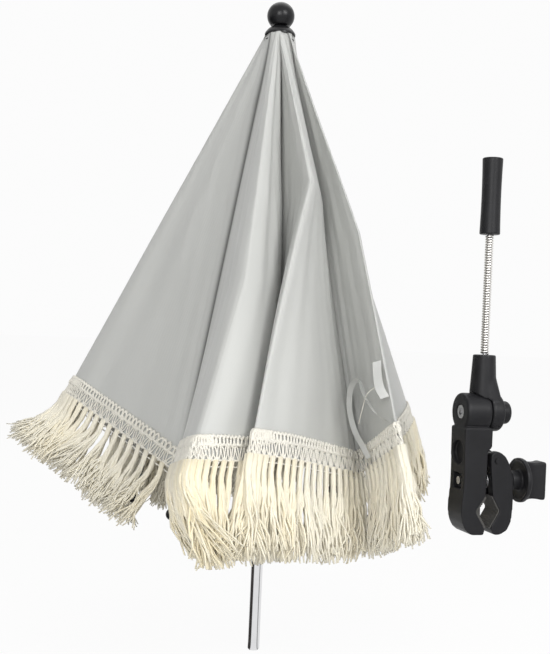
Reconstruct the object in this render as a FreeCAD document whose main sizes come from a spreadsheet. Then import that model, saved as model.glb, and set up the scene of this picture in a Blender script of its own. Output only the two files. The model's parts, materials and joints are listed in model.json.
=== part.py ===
import FreeCAD, Part
import math
import os
import re

import Sketcher
from FreeCAD import Placement, Rotation, Vector

# Pram parasol, half folded, and its clamp arm standing beside it.
# Frame: origin at the lower end of the shaft tube, +Z up the shaft, -Y towards the front.

SIZES = {
    # Shared fits
    "fit_gap": 0.3,
    "pin_play": 0.1,
    "slide_play": 0.05,
    "overrun": 1.0,
    # Shaft
    "shaft_diameter": 9.4,
    "shaft_wall": 1.0,
    "shaft_top": 481.0,
    "plug_head": 6.4,
    "plug_stem": 10.0,
    "plug_round": 2.2,
    "groove_height": 120.0,
    "groove_width": 1.4,
    "groove_depth": 0.5,
    "stop_ring_diameter": 12.0,
    # Finial and crown cap
    "finial_radius": 10.9,
    "finial_rise": 7.6,
    "finial_stub": 20.0,
    "cap_radius": 12.2,
    "cap_rim_rise": 1.4,
    "cap_crown_rise": 8.0,
    "cap_wall": 1.2,
    # Rib linkage
    "pivot_radius": 9.0,
    "pivot_drop": 6.0,
    "rest_angle": 14.0,
    "open_angle": 65.0,
    "first_rib_bearing": -84.0,
    "notch_radius": 11.4,
    "notch_thickness": 8.0,
    "joint_distance": 160.0,
    "rib_length": 374.0,
    "rib_radius": 1.3,
    "rib_eye_radius": 1.9,
    "rib_eye_width": 2.0,
    "rib_boss_width": 3.0,
    "rib_tip_radius": 4.4,
    "tip_neck_radius": 2.2,
    "tip_neck_length": 7.0,
    "link_pin_radius": 0.8,
    "stretcher_radius": 1.0,
    "stretcher_eye_width": 1.6,
    # Runner
    "runner_flange_radius": 11.4,
    "runner_flange_height": 8.0,
    "runner_tube_radius": 7.0,
    "runner_tube_length": 26.0,
    # Canopy cloth and fringe
    "cloth_thickness": 0.5,
    "cloth_offset": 2.1,
    "cloth_rib_margin": 2.6,
    "cloth_seam_margin": 3.4,
    "cloth_top": 10.0,
    "hem_at_rib": 350.0,
    "tassel_length": 64.0,
    "tassel_thickness": 1.6,
    "tassel_rib_margin": 8.0,
    "tassel_seam_margin": 9.0,
    "strap_width": 8.0,
    "strap_thickness": 0.8,
    "strap_start": 256.0,
    "strap_length": 62.0,
    "strap_clearance": 0.6,
    # Clamp arm: place and knuckle
    "clamp_x": 170.4,
    "clamp_y": -16.0,
    "clamp_yaw": 17.0,
    "knuckle_height": 191.4,
    "barrel_radius": 14.8,
    "barrel_left": 19.0,
    "barrel_right": 16.0,
    "seam_place": 2.4,
    "barrel_round": 1.2,
    # Clamp body
    "body_width": 21.5,
    "body_height": 94.2,
    "body_depth": 28.0,
    "body_top_drop": 13.5648,
    "side_recess_radius": 10.0,
    "side_recess_depth": 1.6,
    "lug_depth": 10.0,
    "lug_radius": 5.5,
    # Moving jaw
    "jaw_depth": 26.0,
    "jaw_reach": 24.5,
    "jaw_foot_drop": 0.5,
    "jaw_pin_x": 9.0,
    "jaw_pin_radius": 2.0,
    # Jaw pads
    "pad_thickness": 2.2,
    "pad_depth": 24.0,
    "pad_margin": 1.6,
    # Screw, nut, knob
    "screw_radius": 3.0,
    "screw_left": 18.0,
    "screw_play": 0.6,
    "nut_depth": 13.0,
    "nut_height": 12.0,
    "nut_left": 14.0,
    "nut_length": 12.0,
    "jaw_slot_rise": 5.4,
    "jaw_slot_inner_drop": 4.2,
    "jaw_slot_outer_drop": 11.6,
    "washer_place": 24.3,
    "washer_thickness": 1.4,
    "washer_radius": 7.6,
    "collar_radius": 7.4,
    "collar_length": 5.0,
    "knob_radius": 18.0,
    "knob_thickness": 3.4,
    "knob_round": 1.4,
    "wing_length": 19.6,
    "wing_height": 33.0,
    "wing_thickness": 14.0,
    "wing_web": 8.0,
    "wing_flare": 6.4,
    "wing_round": 4.0,
    "wing_edge": 1.2,
    # Pivot bolt, nut and tilt button
    "bolt_radius": 3.0,
    "bolt_head_radius": 5.2,
    "bolt_head_length": 4.0,
    "bolt_recess": 0.6,
    "hex_socket": 2.9,
    "hex_socket_depth": 2.4,
    "button_well": 5.6,
    "pivot_nut_radius": 5.4,
    "pivot_nut_length": 3.4,
    "button_radius": 9.0,
    "button_inner": 13.0,
    "button_outer": 19.4,
    "button_dome": 2.6,
    "button_spring_radius": 7.6,
    "button_spring_wire": 0.45,
    "button_spring_turns": 4,
    # Neck, gooseneck and sleeve
    "neck_length": 44.8,
    "neck_top_radius": 9.2,
    "neck_root_radius": 11.6,
    "neck_root_rise": 6.7,
    "neck_round": 2.4,
    "coil_radius": 3.4,
    "coil_wire": 0.75,
    "coil_turns": 40,
    "core_radius": 1.4,
    "core_hold": 12.0,
    "coil_length": 93.9,
    "sleeve_length": 59.7,
    "sleeve_radius": 8.0,
    "sleeve_round": 1.0,
    "socket_depth": 46.0,
    # Jaw spring
    "jaw_spring_radius": 6.8,
    "jaw_spring_wire": 0.45,
    "jaw_spring_turns": 2,
}

# Where the jaw, its pin, the screw and the side recess sit, as shares of the clamp body's height.
JAW_HEIGHT_SHARE = 0.6847134
JAW_PIN_SHARE = 0.3885350
SCREW_SHARE = 0.5636943
SIDE_RECESS_SHARE = 0.3365180
# Places that follow from the sizes.
PLACES = {
    "pivot_height": "shaft_top - pivot_drop",
    "cap_rim_height": "shaft_top + cap_rim_rise",
    "cap_crown_height": "cap_rim_height + cap_crown_rise",
    "finial_height": "cap_crown_height + finial_rise",
    "foot_height": "knuckle_height - body_height",
    "body_top": "knuckle_height - body_top_drop",
    "jaw_foot_height": "foot_height - jaw_foot_drop",
    "jaw_height": f"body_height * {JAW_HEIGHT_SHARE}",
    "jaw_pin_height": f"knuckle_height - body_height * {JAW_PIN_SHARE}",
    "side_recess_height": f"knuckle_height - body_height * {SIDE_RECESS_SHARE}",
    "screw_height": f"knuckle_height - body_height * {SCREW_SHARE}",
    "neck_top": "knuckle_height + neck_length",
    "neck_root_height": "knuckle_height + neck_root_rise",
    "sleeve_bottom": "neck_top + coil_length",
    "sleeve_top": "sleeve_bottom + sleeve_length",
}

RIB_COUNT = 8
RIB_STEP = 360.0 / RIB_COUNT
# Bearing of each gore's seam from the radial, in degrees: how far the half-folded lobe is wrapped round.
SEAM_WRAPS = (-60.0, 8.0, -50.0, -65.0, 30.0, 0.0, 0.0, -50.0)
# How far each gore's hem hangs at its seam, against the hem at the ribs.
SEAM_HEM_SHARES = (0.955, 1.05, 1.037, 1.017, 1.04, 1.022, 1.022, 1.022)
STRAP_GORE = 3
CLOTH_BULGE_SHARE = 0.02
# Sagittas as shares of the half chord: a quarter round, the cap's dome, the waists of neck and sleeve.
QUARTER_SHARE = 0.41
DOME_SHARE = 0.22
NECK_WAIST_SHARE = -0.06
SLEEVE_WAIST_SHARE = -0.016
PAD_TOOTH_COUNT = 7
STRAP_PLACE_SHARE = 0.45

# Outlines as (width share, height share or place, bulge share of the edge that starts there).
BODY_SHARES = (
    (-0.884, "body_top", 0.0),
    (-0.953, 0.226, 0.10),
    (-0.698, 0.080, 0.12),
    (-0.316, 0.003, 0.0),
    (0.047, 0.000, 0.0),
    (0.047, 0.065, 0.0),
    (-0.330, 0.203, 0.0),
    (0.047, 0.330, 0.0),
    (0.047, 0.690, 0.0),
    (0.290, 0.722, 0.0),
    (0.310, "body_top", 0.0),
)
JAW_SHARES = (
    (0.225, 0.900, -0.75),
    (0.551, 0.964, -0.12),
    (0.849, 0.763, -0.08),
    (0.980, 0.438, -0.03),
    (1.000, 0.195, -0.30),
    (0.678, 0.000, -0.06),
    (0.180, 0.061, 0.0),
    (0.130, 0.109, 0.0),
    (0.445, 0.304, 0.0),
    (0.130, 0.489, 0.0),
    (0.225, 0.530, 0.0),
)

doc = FreeCAD.newDocument("pram_parasol")
sheet = doc.addObject("Spreadsheet::Sheet", "sizes")
for row, (alias, number) in enumerate(SIZES.items(), start=1):
    sheet.set(f"A{row}", alias)
    sheet.set(f"B{row}", str(number))
    sheet.setAlias(f"B{row}", alias)
doc.recompute()

NODES = []


def bind(words):
    """An expression on the sheet, from words that use its aliases and the places that follow from them."""

    def expand(found):
        word = found.group(0)
        return f"({bind(PLACES[word])})" if word in PLACES else "sizes." + word

    return re.sub(r"[a-z][a-z_]+", expand, words)


def number_of(words):
    """The value of an expression in the sheet's aliases and places."""
    return float(sheet.evalExpression(bind(words).replace("sizes.", ".")))


def size(alias):
    """The number held under an alias of the sheet, or of a place that follows from them."""
    return number_of(alias)


def node(feature, label):
    """Marks a finished feature as the sub-part that the label names."""
    feature.Label = label
    NODES.append(feature)
    return feature


def primitive(kind, name, place=None, **words):
    """A primitive whose sizes are bound to the sheet."""
    feature = doc.addObject(kind, name)
    for prop, expression in words.items():
        feature.setExpression(prop, bind(expression))
    if place is not None:
        feature.Placement = place
    return feature


def cylinder(name, radius, length, place=None):
    """A bound cylinder along its own +Z."""
    return primitive("Part::Cylinder", name, place, Radius=radius, Height=length)


def box(name, length, width, height, place=None):
    """A bound box that starts at its own corner."""
    return primitive("Part::Box", name, place, Length=length, Width=width, Height=height)


def fuse(name, pieces, place=None):
    """The union of several features."""
    feature = doc.addObject("Part::MultiFuse", name)
    feature.Shapes = pieces
    if place is not None:
        feature.Placement = place
    return feature


def cut(name, base, tools, place=None):
    """The base with the tools taken away."""
    tool = tools[0] if len(tools) == 1 else fuse(name + "_tools", tools)
    feature = doc.addObject("Part::Cut", name)
    feature.Base = base
    feature.Tool = tool
    if place is not None:
        feature.Placement = place
    return feature


def common(name, pieces):
    """What several features share."""
    feature = doc.addObject("Part::MultiCommon", name)
    feature.Shapes = pieces
    return feature


def group(name, pieces):
    """Several solids that make one node."""
    feature = doc.addObject("Part::Compound", name)
    feature.Links = pieces
    return feature


def solid_feature(name, shape):
    """A free-form solid set from the sheet's sizes."""
    feature = doc.addObject("Part::Feature", name)
    feature.Shape = shape
    return feature


def origin_plane(body, role):
    """One of a body's own origin planes."""
    return next(plane for plane in body.Origin.OriginFeatures if plane.Role == role)


def outline_sketch(body, name, points, bulges):
    """A closed sketch on the body's XZ plane, its corners bound to the sheet.

    points are pairs of expressions, and bulges gives the sagitta of each edge as a share of its half chord.
    """
    sketch = body.newObject("Sketcher::SketchObject", name)
    sketch.AttachmentSupport = [(origin_plane(body, "XZ_Plane"), "")]
    sketch.MapMode = "FlatFace"
    corners = [Vector(number_of(x), number_of(z), 0) for x, z in points]
    starts = []
    ends = []
    for index, corner in enumerate(corners):
        after = corners[(index + 1) % len(corners)]
        bulge = bulges[index]
        if bulge == 0.0:
            edge = sketch.addGeometry(Part.LineSegment(corner, after))
            first, last = 1, 2
        else:
            chord = after - corner
            side = Vector(chord.y, -chord.x, 0) * (bulge / 2)
            middle = (corner + after) * 0.5 + side
            round_stretch = Part.Circle(corner, middle, after)
            centre = round_stretch.Center
            circle = Part.Circle(centre, Vector(0, 0, 1), round_stretch.Radius)
            begin, finish = (corner, after) if bulge > 0 else (after, corner)
            first, last = (1, 2) if bulge > 0 else (2, 1)
            angles = [math.atan2(p.y - centre.y, p.x - centre.x) for p in (begin, finish)]
            edge = sketch.addGeometry(Part.ArcOfCircle(circle, angles[0], angles[1]))
            sketch.addConstraint(Sketcher.Constraint("Radius", edge, circle.Radius))
        starts.append((edge, first))
        ends.append((edge, last))
    for index, (x, z) in enumerate(points):
        edge, position = starts[index]
        previous = ends[index - 1]
        sketch.addConstraint(Sketcher.Constraint("Coincident", previous[0], previous[1], edge, position))
        for kind, words in (("DistanceX", x), ("DistanceY", z)):
            value = number_of(words)
            where = sketch.addConstraint(Sketcher.Constraint(kind, -1, 1, edge, position, value))
            sketch.renameConstraint(where, f"{kind}_{index}")
            sketch.setExpression(f"Constraints.{kind}_{index}", bind(words))
    return sketch


def turned(name, points, bulges=None, place=None):
    """A body turned about its Z axis from a closed profile of (radius, height) expressions."""
    body = doc.addObject("PartDesign::Body", name)
    sketch = outline_sketch(body, name + "_profile", points, bulges or [0.0] * len(points))
    doc.recompute()
    feature = body.newObject("PartDesign::Revolution", name + "_turn")
    feature.Profile = sketch
    feature.ReferenceAxis = (sketch, ["V_Axis"])
    feature.Angle = 360.0
    body.Tip = feature
    if place is not None:
        body.Placement = place
    return body


def padded(name, points, bulges, depth, place=None):
    """A body padded both ways from an outline on its XZ plane."""
    body = doc.addObject("PartDesign::Body", name)
    sketch = outline_sketch(body, name + "_outline", points, bulges)
    doc.recompute()
    feature = body.newObject("PartDesign::Pad", name + "_pad")
    feature.Profile = sketch
    feature.SideType = "Symmetric"
    feature.setExpression("Length", bind(depth))
    body.Tip = feature
    if place is not None:
        body.Placement = place
    return body


def along_x(x, z):
    """A place whose own +Z runs along +X."""
    return Placement(Vector(x, 0, z), Rotation(Vector(0, 1, 0), 90))


def across_y(x, y, z):
    """A place whose own +Z runs along +Y."""
    return Placement(Vector(x, y, z), Rotation(Vector(1, 0, 0), -90))


def bearing_frame(bearing):
    """The outward and the tangential direction at a bearing from the front, positive to the right."""
    angle = math.radians(bearing)
    outward = Vector(math.sin(angle), -math.cos(angle), 0)
    tangent = Vector(math.cos(angle), math.sin(angle), 0)
    return outward, tangent


def rib_bearing(index):
    """The bearing of a rib, counted round from the first."""
    return size("first_rib_bearing") + RIB_STEP * index


def direction(bearing, polar):
    """The unit direction that leaves the shaft's downward line by the polar angle."""
    outward, _ = bearing_frame(bearing)
    angle = math.radians(polar)
    return outward * math.sin(angle) - Vector(0, 0, math.cos(angle))


def link_place(pivot, along, tangent):
    """A place whose own -Z runs along a link and whose own Y is the pivot axis."""
    up = along * -1
    side = tangent.cross(up)
    return Placement(pivot, Rotation(side, tangent, up, "ZXY"))


# Shaft and crown

def shaft_pieces():
    """Tube, end plug, runner stop, finial and crown cap."""
    tube = cylinder("shaft_tube", "shaft_diameter / 2", "shaft_top")
    bore = cylinder("shaft_bore", "shaft_diameter / 2 - shaft_wall", "shaft_top")
    groove_outer = cylinder("groove_outer", "shaft_diameter / 2 + overrun", "groove_width")
    groove_outer.setExpression("Placement.Base.z", bind("groove_height"))
    groove_inner = cylinder("groove_inner", "shaft_diameter / 2 - groove_depth", "groove_width")
    groove_inner.setExpression("Placement.Base.z", bind("groove_height"))
    groove = cut("groove", groove_outer, [groove_inner])
    node(cut("shaft", tube, [bore, groove]), "shaft")

    ring_outer = cylinder("ring_outer", "stop_ring_diameter / 2", "groove_width")
    ring_outer.setExpression("Placement.Base.z", bind("groove_height"))
    ring_inner = cylinder("ring_inner", "shaft_diameter / 2 - groove_depth", "groove_width")
    ring_inner.setExpression("Placement.Base.z", bind("groove_height"))
    node(cut("runner_stop", ring_outer, [ring_inner]), "runner_stop")

    stem = "shaft_diameter / 2 - shaft_wall - slide_play"
    node(
        turned(
            "end_plug",
            [
                ("0 * plug_head", "0 - plug_head"),
                ("shaft_diameter / 2 - plug_round", "0 - plug_head"),
                ("shaft_diameter / 2", "plug_round - plug_head"),
                ("shaft_diameter / 2", "0 * plug_head"),
                (stem, "0 * plug_head"),
                (stem, "plug_stem"),
                ("0 * plug_head", "plug_stem"),
            ],
            [0.0, QUARTER_SHARE, 0.0, 0.0, 0.0, 0.0, 0.0],
        ),
        "end_plug",
    )

    ball = primitive("Part::Sphere", "finial_ball", Radius="finial_radius")
    ball.setExpression("Placement.Base.z", bind("finial_height"))
    seat = cylinder("finial_seat", "finial_radius * 2", "finial_radius * 2")
    seat.setExpression("Placement.Base.z", bind("cap_crown_height - finial_radius * 2"))
    top = cut("finial_top", ball, [seat])
    stub = cylinder("finial_stub_pin", stem, "finial_stub + overrun")
    stub.setExpression("Placement.Base.z", bind("cap_crown_height - finial_stub"))
    node(fuse("finial", [top, stub]), "finial")

    node(
        turned(
            "crown_cap",
            [
                (stem + " + slide_play", "shaft_top"),
                ("shaft_diameter / 2", "shaft_top"),
                ("shaft_diameter / 2", "cap_crown_height - cap_wall - cap_wall / 4"),
                ("cap_radius", "cap_rim_height"),
                ("cap_radius", "cap_rim_height + cap_wall"),
                (stem + " + slide_play", "cap_crown_height"),
            ],
            [0.0, 0.0, -DOME_SHARE, 0.0, DOME_SHARE, 0.0],
        ),
        "crown_cap",
    )


# Rib linkage

def slotted_ring(name, inner, outer, low, height, slots, extra=None):
    """A ring round the shaft with one radial slot for each link.

    slots are (bearing, offset along the tangent, width expression).
    """
    ring = cylinder(name + "_ring", outer, height)
    ring.Placement = Placement(Vector(0, 0, low), Rotation())
    base = ring if extra is None else fuse(name + "_whole", [ring, extra])
    tools = []
    for index, (bearing, offset, width) in enumerate(slots):
        outward, tangent = bearing_frame(bearing)
        half = number_of(width) / 2
        floor = size("pivot_radius") - size("rib_eye_radius") - size("fit_gap")
        corner = outward * floor + tangent * (offset - half) + Vector(0, 0, low - size("overrun"))
        turn = Rotation(outward, tangent, Vector(0, 0, 1), "XZY")
        slot = box(f"{name}_slot_{index}", outer, width, f"{height} + 2 * overrun", Placement(corner, turn))
        tools.append(slot)
    tools.append(cylinder(name + "_bore", inner, "shaft_top * 2"))
    return base, tools


def ring_pins(name, count_offset, height, along):
    """The group of short pins that the links of a ring turn on."""
    pins = []
    for index in range(RIB_COUNT):
        outward, tangent = bearing_frame(rib_bearing(index))
        start = outward * size("pivot_radius") + tangent * (count_offset - along / 2) + Vector(0, 0, height)
        place = Placement(start, Rotation(Vector(0, 0, 1), tangent))
        pin = cylinder(f"{name}_{index}", "link_pin_radius", "rib_boss_width + rib_eye_width", place)
        pins.append(pin)
    return pins


def stretcher_offset():
    """How far a stretcher lies beside its rib, along the tangent."""
    return (size("rib_boss_width") + size("stretcher_eye_width")) / 2 + size("fit_gap")


def notch_and_runner():
    """The slotted crown that the ribs hang in, and the runner that carries the stretchers."""
    pin_length = size("rib_boss_width") + size("rib_eye_width")
    low = size("pivot_height") - size("notch_thickness") / 2
    rib_slots = [(rib_bearing(i), 0.0, "rib_eye_width + 2 * fit_gap") for i in range(RIB_COUNT)]
    base, tools = slotted_ring(
        "rib_notch", "shaft_diameter / 2", "notch_radius", low, "notch_thickness", rib_slots
    )
    pins = ring_pins("rib_pin", 0.0, size("pivot_height"), pin_length)
    drills = ring_pins("rib_pin_hole", 0.0, size("pivot_height"), pin_length)
    node(cut("rib_notch", base, tools + drills), "rib_notch")
    node(group("rib_pins", pins), "rib_pins")

    drop = 2 * size("joint_distance") * math.cos(math.radians(size("rest_angle")))
    height = size("pivot_height") - drop
    low = height - size("runner_flange_height") / 2
    tube = cylinder("runner_tube", "runner_tube_radius", "runner_tube_length")
    tube.Placement = Placement(Vector(0, 0, low - size("runner_tube_length")), Rotation())
    offset = stretcher_offset()
    slots = [(rib_bearing(i), offset, "stretcher_eye_width + 2 * fit_gap") for i in range(RIB_COUNT)]
    inner = "shaft_diameter / 2 + pin_play"
    base, tools = slotted_ring(
        "runner", inner, "runner_flange_radius", low, "runner_flange_height", slots, tube
    )
    pins = ring_pins("runner_pin", offset, height, pin_length)
    drills = ring_pins("runner_pin_hole", offset, height, pin_length)
    node(cut("runner", base, tools + drills), "runner")
    node(group("runner_pins", pins), "runner_pins")


def eye(name, radius, width, place, along, offset):
    """A flat round eye at a distance along a link, its axis along the link's own Y."""
    start = Placement(Vector(0, offset - number_of(width) / 2, -along), Rotation(Vector(1, 0, 0), -90))
    return cylinder(name, radius, width, place.multiply(start))


def rib(index):
    """A rib with its eye, joint boss, tip ball and the rivet that the stretcher turns on."""
    outward, tangent = bearing_frame(rib_bearing(index))
    along = direction(rib_bearing(index), size("rest_angle"))
    pivot = outward * size("pivot_radius") + Vector(0, 0, size("pivot_height"))
    place = link_place(pivot, along, tangent)
    name = f"rib_{index + 1}"
    joint = size("joint_distance")
    far = size("rib_length")
    rod = cylinder(name + "_rod", "rib_radius", "rib_length")
    rod.Placement = place.multiply(Placement(Vector(0, 0, -far), Rotation()))
    flat = box(name + "_flat", "rib_radius * 2", "rib_radius * 2", "rib_eye_radius * 3")
    flat_corner = Vector(-size("rib_radius"), size("rib_eye_width") / 2, -size("rib_eye_radius") * 3)
    flat.Placement = place.multiply(Placement(flat_corner, Rotation()))
    other = box(name + "_other_flat", "rib_radius * 2", "rib_radius * 2", "rib_eye_radius * 3")
    other_y = -size("rib_eye_width") / 2 - 2 * size("rib_radius")
    other_corner = Vector(-size("rib_radius"), other_y, flat_corner.z)
    other.Placement = place.multiply(Placement(other_corner, Rotation()))
    ball = primitive("Part::Sphere", name + "_ball", Radius="rib_tip_radius")
    ball.Placement = place.multiply(Placement(Vector(0, 0, -far), Rotation()))
    neck = cylinder(name + "_neck", "tip_neck_radius", "tip_neck_length")
    neck.Placement = place.multiply(Placement(Vector(0, 0, -far), Rotation()))
    top_eye = eye(name + "_eye", "rib_eye_radius", "rib_eye_width", place, 0.0, 0.0)
    boss = eye(name + "_boss", "rib_eye_radius", "rib_boss_width", place, joint, 0.0)
    whole = fuse(name + "_whole", [cut(name + "_blade", rod, [flat, other]), ball, neck, top_eye, boss])
    hole = eye(name + "_hole", "link_pin_radius + pin_play", "rib_boss_width * 2", place, 0.0, 0.0)
    rivet_width = "2 * rib_boss_width + stretcher_eye_width"
    rivet_shift = stretcher_offset() / 2
    seat = eye(name + "_seat", "link_pin_radius", rivet_width, place, joint, rivet_shift)
    rivet = eye(name + "_rivet", "link_pin_radius", rivet_width, place, joint, rivet_shift)
    node(group(name, [cut(name + "_body", whole, [hole, seat]), rivet]), name)


def stretcher(index):
    """A stretcher from its rib's rivet down to the runner's pin."""
    outward, tangent = bearing_frame(rib_bearing(index))
    along = direction(rib_bearing(index), size("rest_angle"))
    pivot = outward * size("pivot_radius") + Vector(0, 0, size("pivot_height"))
    joint = pivot + along * size("joint_distance") + tangent * stretcher_offset()
    down = direction(rib_bearing(index), -size("rest_angle"))
    place = link_place(joint, down, tangent)
    name = f"stretcher_{index + 1}"
    far = size("joint_distance")
    rod = cylinder(name + "_rod", "stretcher_radius", "joint_distance")
    rod.Placement = place.multiply(Placement(Vector(0, 0, -far), Rotation()))
    eyes = [eye(f"{name}_eye_{i}", "rib_eye_radius", "stretcher_eye_width", place, s, 0.0)
            for i, s in enumerate((0.0, far))]
    holes = [eye(f"{name}_hole_{i}", "link_pin_radius + pin_play", "rib_boss_width * 2", place, s, 0.0)
             for i, s in enumerate((0.0, far))]
    trims = []
    for i, s in enumerate((size("rib_eye_radius"), far + size("rib_eye_radius"))):
        for side in (-1, 1):
            trim = box(f"{name}_trim_{i}_{side}", "rib_radius * 2", "rib_radius * 2", "rib_eye_radius * 2")
            centre = side * (size("stretcher_eye_width") / 2 + size("rib_radius"))
            low = centre - size("rib_radius")
            trim.Placement = place.multiply(Placement(Vector(-size("rib_radius"), low, -s), Rotation()))
            trims.append(trim)
    blade = cut(name + "_blade", rod, trims)
    node(cut(name, fuse(name + "_whole", [blade] + eyes), holes), name)


# Canopy

def angle_between(first, second):
    """The angle between two unit directions, in degrees."""
    return math.degrees(math.acos(max(-1.0, min(1.0, first.dot(second)))))


def seam_direction(index):
    """The direction of a gore's middle seam at rest.

    The two half gores keep the angles that they span when the canopy is open and taut, so the seam lies where
    those two angles add up to the open angle between neighbouring ribs, at the gore's wrap from the radial.
    """
    first = direction(rib_bearing(index), size("rest_angle"))
    second = direction(rib_bearing(index + 1), size("rest_angle"))
    open_sum = angle_between(
        direction(rib_bearing(index), size("open_angle")),
        direction(rib_bearing(index + 1), size("open_angle")),
    )
    middle = (first + second).normalize()
    outward, tangent = bearing_frame(rib_bearing(index) + RIB_STEP / 2)
    radial = (outward - middle * outward.dot(middle)).normalize()
    wrap = math.radians(SEAM_WRAPS[index])
    heading = radial * math.cos(wrap) + tangent * math.sin(wrap)
    low, high = 0.0, open_sum
    for _ in range(60):
        trial = math.radians((low + high) / 2)
        seam = middle * math.cos(trial) + heading * math.sin(trial)
        if angle_between(seam, first) + angle_between(seam, second) < open_sum:
            low = math.degrees(trial)
        else:
            high = math.degrees(trial)
    return seam


def gore_lines(index, side):
    """Start and direction of the rib edge and of the seam edge of one half gore."""
    rib_index = index if side > 0 else index + 1
    outward, _ = bearing_frame(rib_bearing(rib_index))
    along = direction(rib_bearing(rib_index), size("rest_angle"))
    above = (outward - along * outward.dot(along)).normalize()
    height = Vector(0, 0, size("pivot_height"))
    rib_start = outward * size("pivot_radius") + height + above * size("cloth_offset")
    near, _ = bearing_frame(rib_bearing(index))
    far, _ = bearing_frame(rib_bearing(index + 1))
    seam_start = (near + far) * (size("pivot_radius") / 2) + height
    return rib_start, along, seam_start, seam_direction(index)


def cloth_section(lines, at_rib, at_seam, margins, thickness):
    """One closed section of a half gore: two arcs a cloth's thickness apart, and their ends."""
    rib_start, along, seam_start, seam = lines
    rib_point = rib_start + along * at_rib
    seam_point = seam_start + seam * at_seam
    across = (seam_point - rib_point).normalize()
    begin = rib_point + across * margins[0]
    finish = seam_point - across * margins[1]
    slant = (along + seam).normalize()
    outside = across.cross(slant).normalize()
    if outside.dot(seam - along * seam.dot(along)) < 0:
        outside = outside * -1
    half = (finish - begin).Length / 2
    rise = outside * (half * CLOTH_BULGE_SHARE)
    lift = outside * thickness
    begin = begin - lift * 0.5
    finish = finish - lift * 0.5
    middle = (begin + finish) * 0.5 + rise
    lower = Part.Arc(begin, middle, finish).toShape()
    upper = Part.Arc(finish + lift, middle + lift, begin + lift).toShape()
    first_end = Part.LineSegment(finish, finish + lift).toShape()
    last_end = Part.LineSegment(begin + lift, begin).toShape()
    return Part.Wire([lower, first_end, upper, last_end])


def half_gore(index, side):
    """One half of a gore: its cloth down to the hem, and the tassel row that hangs on from it."""
    lines = gore_lines(index, side)
    margins = (size("cloth_rib_margin"), size("cloth_seam_margin"))
    thickness = size("cloth_thickness")
    top = cloth_section(lines, size("cloth_top"), size("cloth_top"), margins, thickness)
    at_rib = size("hem_at_rib")
    at_seam = at_rib * SEAM_HEM_SHARES[index]
    hem = cloth_section(lines, at_rib, at_seam, margins, thickness)
    cloth = Part.makeLoft([top, hem], True, True)
    margins = (size("tassel_rib_margin"), size("tassel_seam_margin"))
    thickness = size("tassel_thickness")
    gap = size("fit_gap")
    upper = cloth_section(lines, at_rib + gap, at_seam + gap, margins, thickness)
    length = size("tassel_length")
    lower = cloth_section(lines, at_rib + length, at_seam + length, margins, thickness)
    tassels = Part.makeLoft([upper, lower], True, True)
    letter = "a" if side > 0 else "b"
    name = f"canopy_half_{index + 1}{letter}"
    node(solid_feature(name, Part.makeCompound([cloth, tassels])), name)


def closing_strap():
    """The strap that hangs on the outside of one half gore."""
    rib_start, along, seam_start, seam = gore_lines(STRAP_GORE, 1)
    start = size("strap_start")
    rib_point = rib_start + along * start
    seam_point = seam_start + seam * start
    across = (seam_point - rib_point).normalize()
    slant = (along + seam).normalize()
    outside = across.cross(slant).normalize()
    if outside.y > 0:
        outside = outside * -1
    depth = (seam_point - rib_point).Length
    lift = depth * CLOTH_BULGE_SHARE / 2 + size("cloth_thickness") + size("strap_clearance")
    corner = rib_point + across * (depth * STRAP_PLACE_SHARE) + outside * lift
    strip = Part.makePolygon(
        [
            corner,
            corner + across * size("strap_width"),
            corner + across * size("strap_width") + slant * size("strap_length"),
            corner + slant * size("strap_length"),
            corner,
        ]
    )
    solid = Part.Face(strip).extrude(outside * size("strap_thickness"))
    node(solid_feature("closing_strap", solid), "closing_strap")


# Wound wire

def helix_arcs(start, before, finish, after):
    """Two tangent arcs that join two points with given directions."""
    reach = finish - start
    total = before + after
    spread = 2 * (1 - before.dot(after))
    mixed = reach.dot(total)
    step = (math.sqrt(mixed * mixed + spread * reach.dot(reach)) - mixed) / spread
    first_control = start + before * step
    last_control = finish - after * step
    meeting = (first_control + last_control) * 0.5
    arcs = []
    for tail, control, head in ((start, first_control, meeting), (meeting, last_control, finish)):
        middle = (tail + head) * 0.5
        half = (head - tail).Length / 2
        lean = math.acos(half / (control - tail).Length)
        peak = middle + (control - middle).normalize() * (half * math.tan(lean / 2))
        arcs.append(Part.Arc(tail, peak, head).toShape())
    return arcs


def wound_wire(label, mean_radius, wire_radius, length, turns):
    """A helical wire along +Z from the origin, one unbroken tube, with its least gap to itself printed."""
    steps = int(round(turns * 4))
    rise = (length - 2 * wire_radius) / steps
    lead = rise / (math.pi / 2)
    points = []
    headings = []
    for step in range(steps + 1):
        angle = step * math.pi / 2
        across, along = mean_radius * math.cos(angle), mean_radius * math.sin(angle)
        points.append(Vector(across, along, wire_radius + rise * step))
        heading = Vector(-along, across, lead)
        headings.append(heading.normalize())
    edges = []
    for step in range(steps):
        edges += helix_arcs(points[step], headings[step], points[step + 1], headings[step + 1])
    spine = Part.Wire(edges)
    profile = Part.Wire(Part.Circle(points[0], headings[0], wire_radius).toShape())
    tube = spine.makePipeShell([profile], True, False)
    least = min((points[step + 4] - points[step]).Length for step in range(steps - 3)) - 2 * wire_radius
    print(label, "least gap to itself", round(least, 3), "volume", round(tube.Volume, 2),
          "of", round(math.pi * wire_radius ** 2 * spine.Length, 2))
    return tube


# Clamp arm

def clamp_place():
    """Where the clamp arm stands."""
    turn = Rotation(Vector(0, 0, 1), size("clamp_yaw"))
    return Placement(Vector(size("clamp_x"), size("clamp_y"), 0), turn)


def shared_outline(shares, width, height, low):
    """An outline's corners as expressions, from its shares."""
    return [(f"{x} * {width}", z if z in PLACES else f"{low} + {z} * {height}") for x, z, _ in shares]


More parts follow.
